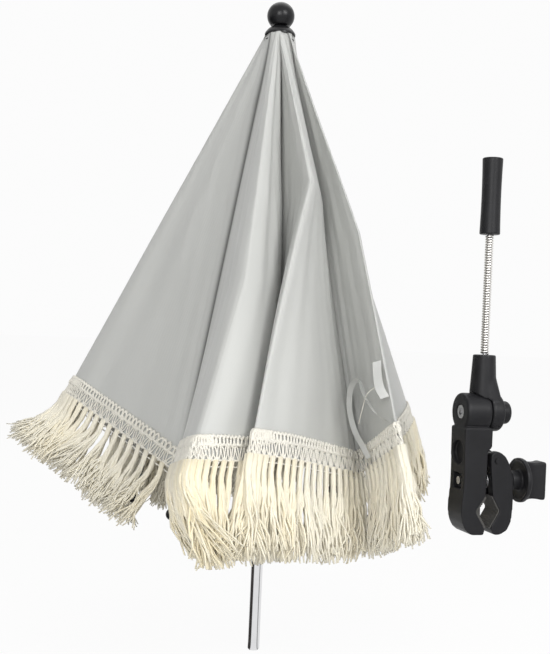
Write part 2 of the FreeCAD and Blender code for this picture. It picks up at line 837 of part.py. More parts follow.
def clamp_body():
    """The fixed jaw with its half of the knuckle, hinge lugs, nut pocket and round side recess."""
    home = clamp_place()
    points = shared_outline(BODY_SHARES, "body_width", "body_height", "foot_height")
    block = padded("clamp_block", points, [b for _, _, b in BODY_SHARES], "body_depth")
    axis = size("knuckle_height")
    barrel = turned(
        "body_barrel",
        [
            ("0 * barrel_radius", "0 - barrel_left"),
            ("barrel_radius - barrel_round", "0 - barrel_left"),
            ("barrel_radius", "barrel_round - barrel_left"),
            ("barrel_radius", "seam_place"),
            ("0 * barrel_radius", "seam_place"),
        ],
        [0.0, QUARTER_SHARE, 0.0, 0.0, 0.0],
        along_x(0, axis),
    )
    pin_x = size("jaw_pin_x")
    eye_end = cylinder("lug_eye", "lug_radius", "lug_depth")
    eye_end.Placement = across_y(pin_x, -size("lug_depth") / 2, size("jaw_pin_height"))
    arm = box("lug_arm", "jaw_pin_x + lug_radius", "lug_depth", "lug_radius * 2")
    arm_low = size("jaw_pin_height") - size("lug_radius")
    arm.Placement = Placement(Vector(-size("lug_radius"), -size("lug_depth") / 2, arm_low), Rotation())
    whole = fuse("clamp_body_whole", [block, barrel, arm, eye_end])
    pin_hole = cylinder("body_pin_hole", "jaw_pin_radius", "body_depth * 2")
    pin_hole.Placement = across_y(pin_x, -size("body_depth"), size("jaw_pin_height"))
    recess = cylinder("side_recess", "side_recess_radius", "side_recess_depth + body_width")
    recess_x = -size("barrel_left") - size("body_width") + size("side_recess_depth") / 2
    recess.Placement = along_x(recess_x, size("side_recess_height"))
    pocket = box("nut_pocket", "body_width * 2", "nut_depth", "nut_height")
    pocket_x = size("nut_length") - size("nut_left") - 2 * size("body_width")
    pocket.Placement = Placement(
        Vector(pocket_x, -size("nut_depth") / 2, size("screw_height") - size("nut_height") / 2), Rotation()
    )
    screw_hole = cylinder("body_screw_hole", "screw_radius + screw_play", "body_width * 2")
    screw_hole.Placement = along_x(-size("nut_left"), size("screw_height"))
    bolt_hole = cylinder("body_bolt_hole", "bolt_radius", "barrel_left * 2 + barrel_right")
    bolt_hole.Placement = along_x(-size("barrel_left") * 2, axis)
    seat_length = "bolt_head_length + bolt_recess + overrun"
    head_seat = cylinder("bolt_head_seat", "bolt_head_radius + slide_play", seat_length)
    head_seat.Placement = along_x(-size("barrel_left") - size("overrun"), axis)
    arm_sweep = cylinder("arm_sweep", "barrel_radius + fit_gap", "barrel_right * 2")
    arm_sweep.Placement = along_x(size("seam_place"), axis)
    tools = [pin_hole, recess, pocket, screw_hole, bolt_hole, head_seat, arm_sweep]
    node(cut("clamp_body", whole, tools, home), "clamp_body")

    pin = cylinder("jaw_pin", "jaw_pin_radius", "jaw_depth")
    pin.Placement = home.multiply(across_y(pin_x, -size("jaw_depth") / 2, size("jaw_pin_height")))
    node(pin, "jaw_pin")


def moving_jaw():
    """The claw whose fork swings on the body's lug, slotted for the clamping screw over its whole swing."""
    home = clamp_place()
    points = shared_outline(JAW_SHARES, "jaw_reach", "jaw_height", "jaw_foot_height")
    block = padded("jaw_block", points, [b for _, _, b in JAW_SHARES], "jaw_depth")
    pin_x = size("jaw_pin_x")
    hole = cylinder("jaw_pin_hole", "jaw_pin_radius + pin_play / 2", "body_depth * 2")
    hole.Placement = across_y(pin_x, -size("body_depth"), size("jaw_pin_height"))
    fork = cylinder("jaw_fork", "lug_radius * 2", "lug_depth + 2 * fit_gap")
    fork.Placement = across_y(pin_x, -size("lug_depth") / 2 - size("fit_gap"), size("jaw_pin_height"))
    slot = padded(
        "jaw_screw_slot",
        [
            ("0 * jaw_reach", "screw_height + jaw_slot_rise"),
            ("0 * jaw_reach", "screw_height - jaw_slot_inner_drop"),
            ("jaw_reach + overrun", "screw_height - jaw_slot_outer_drop"),
            ("jaw_reach + overrun", "screw_height + jaw_slot_rise"),
        ],
        [0.0, 0.0, 0.0, 0.0],
        "2 * (screw_radius + screw_play)",
    )
    node(cut("moving_jaw", block, [hole, fork, slot], home), "moving_jaw")


def jaw_pad(label, shares, corner_index, side, width, height, low):
    """A rubber lining in a jaw's V, as thick as the pad and ribbed along its two flanks."""
    home = clamp_place()
    ends = shares[corner_index : corner_index + 3]
    base = [Vector(x * size(width), size(low) + z * size(height), 0) for x, z, _ in ends]
    inset = size("pad_margin")
    thick = size("pad_thickness")
    flanks = []
    for tail, head in ((base[0], base[1]), (base[1], base[2])):
        along = (head - tail).normalize()
        normal = Vector(along.y, -along.x, 0)
        if normal.x * side < 0:
            normal = normal * -1
        flanks.append((along, normal))
    lower_start = base[0] + flanks[0][0] * inset
    upper_end = base[2] - flanks[1][0] * inset
    inner_apex = base[1] + Vector(side * thick / abs(flanks[0][1].x), 0, 0)
    inner_start = lower_start + flanks[0][1] * thick
    inner_end = upper_end + flanks[1][1] * thick
    outline = [lower_start, base[1], upper_end, inner_end]
    for begin, finish, normal in (
        (inner_end, inner_apex, flanks[1][1]),
        (inner_apex, inner_start, flanks[0][1]),
    ):
        for step in range(1, PAD_TOOTH_COUNT):
            depth = thick / 4 if step % 2 else 0.0
            outline.append(begin + (finish - begin) * (step / PAD_TOOTH_COUNT) - normal * depth)
        outline.append(finish)
    corners = [Vector(p.x, -size("pad_depth") / 2, p.y) for p in outline]
    face = Part.Face(Part.makePolygon(corners + [corners[0]]))
    feature = solid_feature(label, face.extrude(Vector(0, size("pad_depth"), 0)))
    feature.Placement = home
    node(feature, label)


def screw_and_knob():
    """Clamping screw, its captive nut, thrust washer, winged knob and the jaw's opening spring."""
    home = clamp_place()
    axis = size("screw_height")
    nut_block = box("nut_block", "nut_length", "nut_depth - 2 * slide_play", "nut_height - 2 * slide_play")
    nut_y = -size("nut_depth") / 2 + size("slide_play")
    nut_z = axis - size("nut_height") / 2 + size("slide_play")
    nut_block.Placement = Placement(Vector(-size("nut_left"), nut_y, nut_z), Rotation())
    nut_bore = cylinder("nut_bore", "screw_radius + slide_play", "nut_length * 3")
    nut_bore.Placement = along_x(-size("nut_left") - size("nut_length"), axis)
    node(cut("screw_nut", nut_block, [nut_bore], home), "screw_nut")

    disc = cylinder("washer_disc", "washer_radius", "washer_thickness")
    disc.Placement = along_x(size("washer_place"), axis)
    washer_hole = cylinder("washer_hole", "screw_radius + slide_play", "washer_thickness * 3")
    washer_hole.Placement = along_x(size("washer_place") - size("washer_thickness"), axis)
    node(cut("thrust_washer", disc, [washer_hole], home), "thrust_washer")

    collar = "washer_place + washer_thickness + fit_gap"
    shank = cylinder("clamp_screw", "screw_radius", f"screw_left + {collar} + collar_length")
    shank.Placement = home.multiply(along_x(-size("screw_left"), axis))
    node(shank, "clamp_screw")

    body = turned(
        "knob_disc",
        [
            ("screw_radius", collar),
            ("collar_radius", collar),
            ("collar_radius", f"{collar} + collar_length"),
            ("knob_radius - knob_round", f"{collar} + collar_length"),
            ("knob_radius", f"{collar} + collar_length + knob_round"),
            ("knob_radius", f"{collar} + collar_length + knob_thickness - knob_round"),
            ("knob_radius - knob_round", f"{collar} + collar_length + knob_thickness"),
            ("0 * knob_radius", f"{collar} + collar_length + knob_thickness"),
            ("0 * knob_radius", f"{collar} + collar_length"),
            ("screw_radius", f"{collar} + collar_length"),
        ],
        [0.0, 0.0, 0.0, QUARTER_SHARE, 0.0, QUARTER_SHARE, 0.0, 0.0, 0.0, 0.0],
        along_x(0, axis),
    )
    back = f"({collar} + collar_length + knob_thickness)"
    root = f"{back} - knob_round"
    tip = f"({back} + wing_length)"
    half = "wing_height / 2"
    side_view = padded(
        "wing_side",
        [
            (root, f"screw_height - {half}"),
            (f"{tip} - wing_round", f"screw_height - {half}"),
            (tip, f"screw_height - {half} + wing_round"),
            (tip, f"screw_height + {half} - wing_round"),
            (f"{tip} - wing_round", f"screw_height + {half}"),
            (root, f"screw_height + {half}"),
        ],
        [0.0, QUARTER_SHARE, 0.0, QUARTER_SHARE, 0.0, 0.0],
        "wing_thickness * 2",
    )
    flare = f"{back} + wing_flare"
    thick = "wing_thickness / 2"
    top_view = padded(
        "wing_top",
        [
            (root, "0 - wing_web / 2"),
            (flare, f"0 - {thick}"),
            (f"{tip} - wing_edge", f"0 - {thick}"),
            (tip, f"wing_edge - {thick}"),
            (tip, f"{thick} - wing_edge"),
            (f"{tip} - wing_edge", thick),
            (flare, thick),
            (root, "wing_web / 2"),
        ],
        [-DOME_SHARE, 0.0, QUARTER_SHARE, 0.0, QUARTER_SHARE, 0.0, -DOME_SHARE, 0.0],
        "wing_height * 2",
        Placement(Vector(0, 0, axis), Rotation(Vector(1, 0, 0), -90)),
    )
    wing = common("knob_wing", [side_view, top_view])
    node(fuse("knob", [body, wing], home), "knob")

    gap = size("jaw_reach") * JAW_SHARES[0][0] - size("body_width") * BODY_SHARES[7][0]
    length = gap - 2 * size("fit_gap")
    coil = wound_wire(
        "jaw_spring",
        size("jaw_spring_radius") - size("jaw_spring_wire"),
        size("jaw_spring_wire"),
        length,
        size("jaw_spring_turns"),
    )
    spring = solid_feature("jaw_spring", coil)
    spring.Placement = home.multiply(along_x(size("body_width") * BODY_SHARES[7][0] + size("fit_gap"), axis))
    node(spring, "jaw_spring")


def knuckle_pieces():
    """The arm's knuckle with its neck, the pivot bolt and nut, and the sprung tilt button."""
    home = clamp_place()
    axis = size("knuckle_height")
    seam = "seam_place + fit_gap"
    barrel = turned(
        "arm_barrel",
        [
            ("0 * barrel_radius", seam),
            ("barrel_radius", seam),
            ("barrel_radius", "barrel_right - barrel_round"),
            ("barrel_radius - barrel_round", "barrel_right"),
            ("0 * barrel_radius", "barrel_right"),
        ],
        [0.0, 0.0, QUARTER_SHARE, 0.0, 0.0],
        along_x(0, axis),
    )
    neck = turned(
        "arm_neck",
        [
            ("0 * neck_top", "neck_root_height"),
            ("neck_root_radius", "neck_root_height"),
            ("neck_top_radius", "neck_top - neck_round"),
            ("neck_top_radius - neck_round", "neck_top"),
            ("0 * neck_top", "neck_top"),
        ],
        [0.0, NECK_WAIST_SHARE, QUARTER_SHARE, 0.0, 0.0],
    )
    sweep = cylinder("barrel_sweep", "barrel_radius + fit_gap", "barrel_left * 2 + seam_place + fit_gap")
    sweep.Placement = along_x(-size("barrel_left") * 2, axis)
    trimmed_neck = cut("arm_neck_trimmed", neck, [sweep])
    well = cylinder("button_well_cut", "button_radius + fit_gap", "barrel_right")
    well.Placement = along_x(size("button_well"), axis)
    bolt_hole = cylinder("arm_bolt_hole", "bolt_radius + slide_play", "barrel_left + barrel_right")
    bolt_hole.Placement = along_x(-size("barrel_left"), axis)
    core_hole = cylinder("neck_core_hole", "core_radius", "core_hold + overrun")
    core_hole.Placement = Placement(Vector(0, 0, size("neck_top") - size("core_hold")), Rotation())
    whole = fuse("arm_knuckle_whole", [barrel, trimmed_neck])
    node(cut("arm_knuckle", whole, [well, bolt_hole, core_hole], home), "arm_knuckle")

    head = cylinder("bolt_head", "bolt_head_radius", "bolt_head_length")
    head.Placement = along_x(-size("barrel_left") + size("bolt_recess"), axis)
    length = "barrel_left - bolt_recess + button_well + pivot_nut_length"
    shank = cylinder("bolt_shank", "bolt_radius", length)
    shank.Placement = along_x(-size("barrel_left") + size("bolt_recess"), axis)
    socket_length = "hex_socket_depth + overrun"
    socket = primitive("Part::Prism", "bolt_socket", Circumradius="hex_socket", Height=socket_length)
    socket.Placement = along_x(-size("barrel_left") + size("bolt_recess") - size("overrun"), axis)
    node(cut("pivot_bolt", fuse("bolt_whole", [head, shank]), [socket], home), "pivot_bolt")

    hexagon = primitive(
        "Part::Prism", "pivot_hexagon", Circumradius="pivot_nut_radius", Height="pivot_nut_length"
    )
    hexagon.Placement = along_x(size("button_well"), axis)
    nut_bore = cylinder("pivot_nut_bore", "bolt_radius", "pivot_nut_length * 3")
    nut_bore.Placement = along_x(size("button_well") - size("pivot_nut_length"), axis)
    node(cut("pivot_nut", hexagon, [nut_bore], home), "pivot_nut")

    radius, dome = size("button_radius"), size("button_dome")
    crown_share = math.tan(math.asin(2 * dome * radius / (radius ** 2 + dome ** 2)) / 4)
    node(
        turned(
            "tilt_button",
            [
                ("0 * button_radius", "button_inner"),
                ("button_radius", "button_inner"),
                ("button_radius", "button_outer"),
                ("0 * button_radius", "button_outer + button_dome"),
            ],
            [0.0, 0.0, crown_share, 0.0],
            home.multiply(along_x(0, axis)),
        ),
        "tilt_button",
    )
    coil = wound_wire(
        "button_spring",
        size("button_spring_radius") - size("button_spring_wire"),
        size("button_spring_wire"),
        size("button_inner") - size("button_well") - 2 * size("fit_gap"),
        size("button_spring_turns"),
    )
    spring = solid_feature("button_spring", coil)
    spring.Placement = home.multiply(along_x(size("button_well") + size("fit_gap"), axis))
    node(spring, "button_spring")


def gooseneck_and_sleeve():
    """The bending arm: its core rod, its wound wire, and the sleeve that takes the parasol's shaft."""
    home = clamp_place()
    core = cylinder("gooseneck_core", "core_radius", "sleeve_bottom - neck_top + core_hold * 2 - fit_gap * 2")
    core.Placement = home.multiply(Placement(Vector(0, 0, size("neck_top") - size("core_hold")), Rotation()))
    node(core, "gooseneck_core")

    length = size("sleeve_bottom") - size("neck_top") - 2 * size("fit_gap")
    coil = wound_wire(
        "gooseneck_coil",
        size("coil_radius") - size("coil_wire"),
        size("coil_wire"),
        length,
        size("coil_turns"),
    )
    winding = solid_feature("gooseneck_coil", coil)
    winding.Placement = home.multiply(Placement(Vector(0, 0, size("neck_top") + size("fit_gap")), Rotation()))
    node(winding, "gooseneck_coil")

    socket = "shaft_diameter / 2 + slide_play"
    hole = "core_radius + fit_gap"
    node(
        turned(
            "sleeve",
            [
                (hole, "sleeve_bottom"),
                ("sleeve_radius - sleeve_round", "sleeve_bottom"),
                ("sleeve_radius", "sleeve_bottom + sleeve_round"),
                ("sleeve_radius", "sleeve_top - sleeve_round"),
                ("sleeve_radius - sleeve_round", "sleeve_top"),
                (socket, "sleeve_top"),
                (socket, "sleeve_top - socket_depth"),
                ("0 * socket_depth", "sleeve_top - socket_depth"),
                ("0 * socket_depth", "sleeve_bottom + core_hold"),
                (hole, "sleeve_bottom + core_hold"),
            ],
            [0.0, QUARTER_SHARE, SLEEVE_WAIST_SHARE, QUARTER_SHARE, 0.0, 0.0, 0.0, 0.0, 0.0, 0.0],
            home,
        ),
        "sleeve",
    )


def build():
    """Every sub-part of the parasol and of its clamp arm."""
    shaft_pieces()
    notch_and_runner()
    for index in range(RIB_COUNT):
        rib(index)
        stretcher(index)
    for index in range(RIB_COUNT):
        for side in (1, -1):
            half_gore(index, side)
    closing_strap()
    clamp_body()
    moving_jaw()
    jaw_pad("fixed_pad", BODY_SHARES, 5, 1, "body_width", "body_height", "foot_height")
    jaw_pad("moving_pad", JAW_SHARES, 7, -1, "jaw_reach", "jaw_height", "jaw_foot_height")
    screw_and_knob()
    knuckle_pieces()
    gooseneck_and_sleeve()


def check_and_write():
    """Stops on a failed object or a bad shape, then writes each sub-part's file."""
    doc.recompute()
    for feature in doc.Objects:
        if "Invalid" in feature.State or "Error" in feature.State:
            raise RuntimeError(f"{feature.Name} failed: {feature.State}")
    for feature in NODES:
        if feature.Shape.isNull() or not feature.Shape.isValid() or not feature.Shape.Solids:
            raise RuntimeError(f"{feature.Label} has no valid solid")
    os.makedirs("parts", exist_ok=True)
    for feature in NODES:
        feature.Shape.exportStep(f"parts/{feature.Label}.step")
    print(len(NODES), "sub-parts written")


build()
check_and_write()
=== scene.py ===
"""Pram parasol, half folded, with its clamp arm: the looks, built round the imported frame."""

from __future__ import annotations

import json
import logging
import math
import random
from dataclasses import dataclass, field
from enum import Enum
from typing import Any, Callable

import bmesh
import bpy
from mathutils import Matrix, Vector, noise
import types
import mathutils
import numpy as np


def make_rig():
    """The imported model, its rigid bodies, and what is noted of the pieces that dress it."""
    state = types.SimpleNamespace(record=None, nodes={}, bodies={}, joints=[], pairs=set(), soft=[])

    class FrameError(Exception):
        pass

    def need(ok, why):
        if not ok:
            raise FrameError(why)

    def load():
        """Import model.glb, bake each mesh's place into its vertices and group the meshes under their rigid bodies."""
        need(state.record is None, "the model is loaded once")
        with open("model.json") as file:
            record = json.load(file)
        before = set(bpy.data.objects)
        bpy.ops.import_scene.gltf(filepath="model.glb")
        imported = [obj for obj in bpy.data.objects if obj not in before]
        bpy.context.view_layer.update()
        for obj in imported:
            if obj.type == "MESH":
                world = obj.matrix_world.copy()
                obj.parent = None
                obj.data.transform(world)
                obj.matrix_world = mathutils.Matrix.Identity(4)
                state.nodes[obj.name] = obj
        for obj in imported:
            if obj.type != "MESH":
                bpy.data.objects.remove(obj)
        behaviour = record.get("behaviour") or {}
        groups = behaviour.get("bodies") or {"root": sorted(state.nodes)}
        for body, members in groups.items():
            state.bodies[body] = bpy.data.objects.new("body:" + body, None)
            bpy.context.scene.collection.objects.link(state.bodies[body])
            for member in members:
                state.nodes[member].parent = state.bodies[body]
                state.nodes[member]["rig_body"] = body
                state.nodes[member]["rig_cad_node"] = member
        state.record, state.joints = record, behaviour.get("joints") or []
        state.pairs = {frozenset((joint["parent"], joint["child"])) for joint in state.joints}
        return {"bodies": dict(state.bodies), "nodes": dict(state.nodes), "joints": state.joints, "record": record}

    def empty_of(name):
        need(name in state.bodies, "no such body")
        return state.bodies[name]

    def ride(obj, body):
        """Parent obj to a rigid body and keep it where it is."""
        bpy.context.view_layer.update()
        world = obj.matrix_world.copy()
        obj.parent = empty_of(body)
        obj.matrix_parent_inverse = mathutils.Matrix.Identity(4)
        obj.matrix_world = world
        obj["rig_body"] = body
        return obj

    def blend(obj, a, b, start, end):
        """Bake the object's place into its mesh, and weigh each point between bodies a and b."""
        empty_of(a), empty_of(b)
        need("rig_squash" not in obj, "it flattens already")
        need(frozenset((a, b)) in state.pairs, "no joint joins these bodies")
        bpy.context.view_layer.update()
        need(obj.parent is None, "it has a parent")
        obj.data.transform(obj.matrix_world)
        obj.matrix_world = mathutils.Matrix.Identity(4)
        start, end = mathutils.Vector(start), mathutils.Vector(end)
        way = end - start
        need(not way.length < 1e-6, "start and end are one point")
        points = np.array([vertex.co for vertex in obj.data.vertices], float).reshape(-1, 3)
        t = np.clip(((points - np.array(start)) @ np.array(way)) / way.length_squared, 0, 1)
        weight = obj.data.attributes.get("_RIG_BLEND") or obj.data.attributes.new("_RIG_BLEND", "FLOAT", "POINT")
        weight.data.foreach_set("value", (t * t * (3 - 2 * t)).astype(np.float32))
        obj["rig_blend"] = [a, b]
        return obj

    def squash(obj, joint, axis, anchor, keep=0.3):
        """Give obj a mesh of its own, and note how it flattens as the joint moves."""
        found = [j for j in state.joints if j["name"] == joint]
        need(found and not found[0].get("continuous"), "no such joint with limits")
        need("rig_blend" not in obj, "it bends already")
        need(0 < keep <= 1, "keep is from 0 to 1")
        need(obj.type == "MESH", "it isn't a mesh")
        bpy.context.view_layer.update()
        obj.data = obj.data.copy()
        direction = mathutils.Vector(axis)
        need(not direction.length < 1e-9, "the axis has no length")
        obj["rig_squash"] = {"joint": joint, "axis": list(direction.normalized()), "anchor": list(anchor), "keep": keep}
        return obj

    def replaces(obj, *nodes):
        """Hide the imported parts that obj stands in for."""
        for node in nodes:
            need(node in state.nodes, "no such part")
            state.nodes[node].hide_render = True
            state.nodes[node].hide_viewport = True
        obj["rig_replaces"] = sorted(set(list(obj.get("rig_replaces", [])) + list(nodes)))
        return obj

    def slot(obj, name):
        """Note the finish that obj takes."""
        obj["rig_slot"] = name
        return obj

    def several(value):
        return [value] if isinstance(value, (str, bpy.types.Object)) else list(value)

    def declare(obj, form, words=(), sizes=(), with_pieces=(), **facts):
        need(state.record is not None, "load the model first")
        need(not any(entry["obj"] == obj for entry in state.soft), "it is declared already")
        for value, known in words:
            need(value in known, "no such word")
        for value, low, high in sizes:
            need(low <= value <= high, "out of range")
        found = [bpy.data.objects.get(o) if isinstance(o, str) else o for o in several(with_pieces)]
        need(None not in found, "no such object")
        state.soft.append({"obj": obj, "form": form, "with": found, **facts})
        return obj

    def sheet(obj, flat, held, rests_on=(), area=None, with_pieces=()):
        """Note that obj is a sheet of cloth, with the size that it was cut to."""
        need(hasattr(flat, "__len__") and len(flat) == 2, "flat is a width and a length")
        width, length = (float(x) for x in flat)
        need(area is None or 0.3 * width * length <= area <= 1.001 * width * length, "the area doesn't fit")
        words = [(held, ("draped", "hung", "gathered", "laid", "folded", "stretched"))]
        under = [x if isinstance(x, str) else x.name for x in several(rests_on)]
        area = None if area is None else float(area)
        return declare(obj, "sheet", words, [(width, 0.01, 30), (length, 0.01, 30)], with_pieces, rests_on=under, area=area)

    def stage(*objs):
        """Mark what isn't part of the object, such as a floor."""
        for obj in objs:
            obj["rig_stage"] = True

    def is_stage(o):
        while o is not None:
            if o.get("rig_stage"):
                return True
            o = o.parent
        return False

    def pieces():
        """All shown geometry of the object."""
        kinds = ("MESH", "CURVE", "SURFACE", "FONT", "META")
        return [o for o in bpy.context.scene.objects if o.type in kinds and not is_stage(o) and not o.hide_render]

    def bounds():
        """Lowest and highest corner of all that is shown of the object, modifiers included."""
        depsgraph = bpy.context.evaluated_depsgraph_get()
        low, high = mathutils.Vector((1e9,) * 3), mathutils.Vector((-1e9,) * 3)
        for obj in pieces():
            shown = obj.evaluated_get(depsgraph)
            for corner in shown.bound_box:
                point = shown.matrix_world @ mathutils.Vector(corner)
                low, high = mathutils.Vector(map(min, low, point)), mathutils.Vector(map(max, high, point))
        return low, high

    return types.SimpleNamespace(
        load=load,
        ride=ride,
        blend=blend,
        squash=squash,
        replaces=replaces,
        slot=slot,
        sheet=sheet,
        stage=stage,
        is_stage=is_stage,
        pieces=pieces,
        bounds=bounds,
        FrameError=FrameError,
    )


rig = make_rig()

log = logging.getLogger("pram_parasol")

BMesh = bmesh.types.BMesh
Material = bpy.types.Material
Mesh = bpy.types.Mesh
Object = bpy.types.Object
Pair = tuple[float, float]
Triple = tuple[float, float, float]
Colour = Triple
Placer = Callable[[Vector], Vector]

ROUND_SIDES = 64


class Side(Enum):
    """Which half of a gore a piece belongs to: the one on its first rib or the one on its next."""

    FIRST = "a"
    NEXT = "b"

    @property
    def sign(self) -> int:
        """+1 where the half opens towards rising bearings, -1 otherwise."""
        return 1 if self is Side.FIRST else -1


class Slot(Enum):
    """The record's material slots."""

    PLASTIC = "black_plastic"
    CHROME = "chrome"
    CLOTH = "satin_cloth"
    STEEL = "steel"
    COIL = "coil_steel"
    RUBBER = "rubber"


class Sock:
    """A socket of a node tree whose arithmetic adds Math nodes."""

    def __init__(self, tree: ShaderTree, socket: bpy.types.NodeSocket) -> None:
        """Keeps the socket and the tree that it lives in."""
        self.tree = tree
        self.socket = socket

    def _math(self, operation: str, first: Any, second: Any) -> Sock:
        """One Math node on two values or sockets."""
        return self.tree.node("ShaderNodeMath", {"operation": operation}, {0: first, 1: second})

    def __add__(self, other: Any) -> Sock:
        """self + other."""
        return self._math("ADD", self, other)

    __radd__ = __add__

    def __mul__(self, other: Any) -> Sock:
        """self * other."""
        return self._math("MULTIPLY", self, other)

    __rmul__ = __mul__


def opaque(value: Any) -> Any:
    """A colour with full alpha; anything else as it is."""
    return (*value, 1.0) if isinstance(value, tuple) else value


class ShaderTree:
    """A material, or a world, under construction."""

    def __init__(self, name: str, world: bool = False) -> None:
        """Starts an empty material, or a world, of that name."""
        self.owner = bpy.data.worlds.new(name) if world else bpy.data.materials.new(name)
        self.owner.use_nodes = True
        self.tree = self.owner.node_tree
        self.tree.nodes.clear()
        self.end = "ShaderNodeOutputWorld" if world else "ShaderNodeOutputMaterial"

    def node(
        self,
        kind: str,
        settings: dict[str, Any] | None = None,
        inputs: dict[Any, Any] | None = None,
        out: Any = 0,
    ) -> Sock | None:
        """Adds any node.

        Args:
            kind: The node's type name.
            settings: Properties that are set first; "stops" fills a colour ramp.
            inputs: Values or Socks by socket name, identifier or index.
            out: Name, identifier or index of the output to return.

        Returns:
            The chosen output, or None for a node that has none.
        """
        made = self.tree.nodes.new(kind)
        for key, value in (settings or {}).items():
            if key == "stops":
                self._fill(made.color_ramp.elements, value)
            else:
                setattr(made, key, value)
        for key, value in (inputs or {}).items():
            socket = self._find(made.inputs, key)
            if isinstance(value, Sock):
                self.tree.links.new(value.socket, socket)
            else:
                socket.default_value = value
        return Sock(self, self._find(made.outputs, out)) if made.outputs else None

    @staticmethod
    def _fill(ramp: Any, stops: tuple[tuple[float, Colour], ...]) -> None:
        """Gives a colour ramp its stops."""
        while len(ramp) < len(stops):
            ramp.new(0.5)
        for stop, (place, colour) in zip(ramp, stops):
            stop.position = place
            stop.color = opaque(colour)

    @staticmethod
    def _find(sockets: Any, key: Any) -> bpy.types.NodeSocket:
        """A socket by index, identifier or name."""
        if isinstance(key, int):
            return sockets[key]
        return next((s for s in sockets if s.identifier == key), None) or sockets[key]

    def place(self, uv: bool = False) -> Sock:
        """Object coordinates, or the piece's own UV map."""
        return self.node("ShaderNodeTexCoord", out="UV" if uv else "Object")

    def scaled(self, where: Sock, scale: Triple) -> Sock:
        """Coordinates stretched by a Mapping node."""
        return self.node("ShaderNodeMapping", None, {"Vector": where, "Scale": scale})

    def grain(self, where: Sock, scale: float, detail: float = 2.0) -> Sock:
        """Noise from 0 to 1."""
        wants = {"Vector": where, "Scale": scale, "Detail": detail}
        return self.node("ShaderNodeTexNoise", None, wants, "Fac")

    def waves(self, where: Sock, scale: float, axis: str, distortion: float = 0.0) -> Sock:
        """Straight waves along one axis, from 0 to 1."""
        settings = {"wave_type": "BANDS", "bands_direction": axis}
        wants = {"Vector": where, "Scale": scale, "Distortion": distortion}
        return self.node("ShaderNodeTexWave", settings, wants, "Fac")

    def mix(self, factor: Any, first: Any, second: Any) -> Sock:
        """Two colours mixed by a factor."""
        wants = {"Factor_Float": factor, "A_Color": opaque(first), "B_Color": opaque(second)}
        return self.node("ShaderNodeMix", {"data_type": "RGBA"}, wants, "Result_Color")

    def attribute(self, name: str) -> Sock:
        """A number that the mesh carries at its points."""
        return self.node("ShaderNodeAttribute", {"attribute_name": name}, None, "Fac")

    def ray(self, kind: str) -> Sock:
        """1 for rays of one kind."""
        return self.node("ShaderNodeLightPath", out=f"Is {kind} Ray")

    def seen(self) -> Sock:
        """1 for rays from the eye, straight or by way of gloss or glass."""
        return self.ray("Camera") + self.ray("Glossy") + self.ray("Transmission")

    def span(self, value: Sock, low: float, high: float) -> Sock:
        """A value from 0 to 1 spread between two numbers."""
        return value * (high - low) + low

    def bump(self, height: Sock, strength: float, distance: float) -> Sock:
        """A normal bent by a height."""
        wants = {"Height": height, "Strength": strength, "Distance": distance}
        return self.node("ShaderNodeBump", None, wants, "Normal")

    def surface(self, **wants: Any) -> Material:
        """Closes the material with a Principled shader.

        Args:
            wants: Values or Socks by socket name, with _ for blanks.

        Returns:
            The finished material.
        """
        inputs = {key.replace("_", " "): opaque(value) for key, value in wants.items()}
        self.close(self.node("ShaderNodeBsdfPrincipled", None, inputs, "BSDF"))
        return self.owner

    def close(self, shader: Sock) -> None:
        """Links a shader to the output."""
        self.node(self.end, None, {"Surface": shader})


@dataclass(frozen=True)
class SatinCloth:
    """The canopy's silver-grey satin: fine twill, soft sheen, faint crease marks, darker along a seam."""

    name: str = "silver_satin"
    colour: Colour = (0.545, 0.55, 0.528)
    shade: Colour = (0.48, 0.485, 0.468)
    seam: Colour = (0.07, 0.07, 0.066)
    twill_slant: Triple = (1.0, 0.55, 1.0)
    twill_lines: float = 420.0
    cross_lines: float = 520.0
    clouds: float = 9.0
    crease_stretch: Triple = (60.0, 9.0, 1.0)
    rough: Pair = (0.38, 0.52)
    sheen: Pair = (0.18, 0.45)
    shine: float = 0.42
    relief: Pair = (0.22, 0.0006)

    def material(self) -> Material:
        """The finished material."""
        tree = ShaderTree(self.name)
        weave = tree.place(uv=True)
        twill = tree.waves(tree.scaled(weave, self.twill_slant), self.twill_lines, "DIAGONAL")
        cross = tree.waves(weave, self.cross_lines, "X")
        cloud = tree.grain(tree.place(), self.clouds, 3.0)
        crease = tree.grain(tree.scaled(weave, self.crease_stretch), 1.0, 3.0)
        colour = tree.mix(cloud * 0.7 + crease * 0.3, self.shade, self.colour)
        height = twill * 0.35 + cross * 0.25 + crease * 0.4
        return tree.surface(
            Base_Color=tree.mix(tree.attribute("seam"), colour, self.seam),
            Roughness=tree.span(twill * 0.5 + cloud * 0.5, *self.rough),
            Sheen_Weight=self.sheen[0],
            Sheen_Roughness=self.sheen[1],
            Specular_IOR_Level=self.shine,
            Normal=tree.bump(height, *self.relief),
        )


@dataclass(frozen=True)
class FringeCotton:
    """Cream cotton of the tassels, yellower in places and darker between the threads."""

    name: str = "fringe_cotton"
    colour: Colour = (0.85, 0.815, 0.70)
    tint: Colour = (0.86, 0.75, 0.48)
    shade: Colour = (0.74, 0.67, 0.52)
    thread_stretch: Triple = (900.0, 900.0, 120.0)
    rough: Pair = (0.72, 0.92)
    sheen: float = 0.25
    relief: Pair = (0.35, 0.0005)

    def material(self) -> Material:
        """The finished material."""
        tree = ShaderTree(self.name)
        thread = tree.grain(tree.scaled(tree.place(), self.thread_stretch), 1.0, 2.0)
        colour = tree.mix(tree.attribute("tint"), self.colour, self.tint)
        return tree.surface(
            Base_Color=tree.mix(thread * 0.35, colour, self.shade),
            Roughness=tree.span(thread, *self.rough),
            Sheen_Weight=self.sheen,
            Normal=tree.bump(thread, *self.relief),
        )


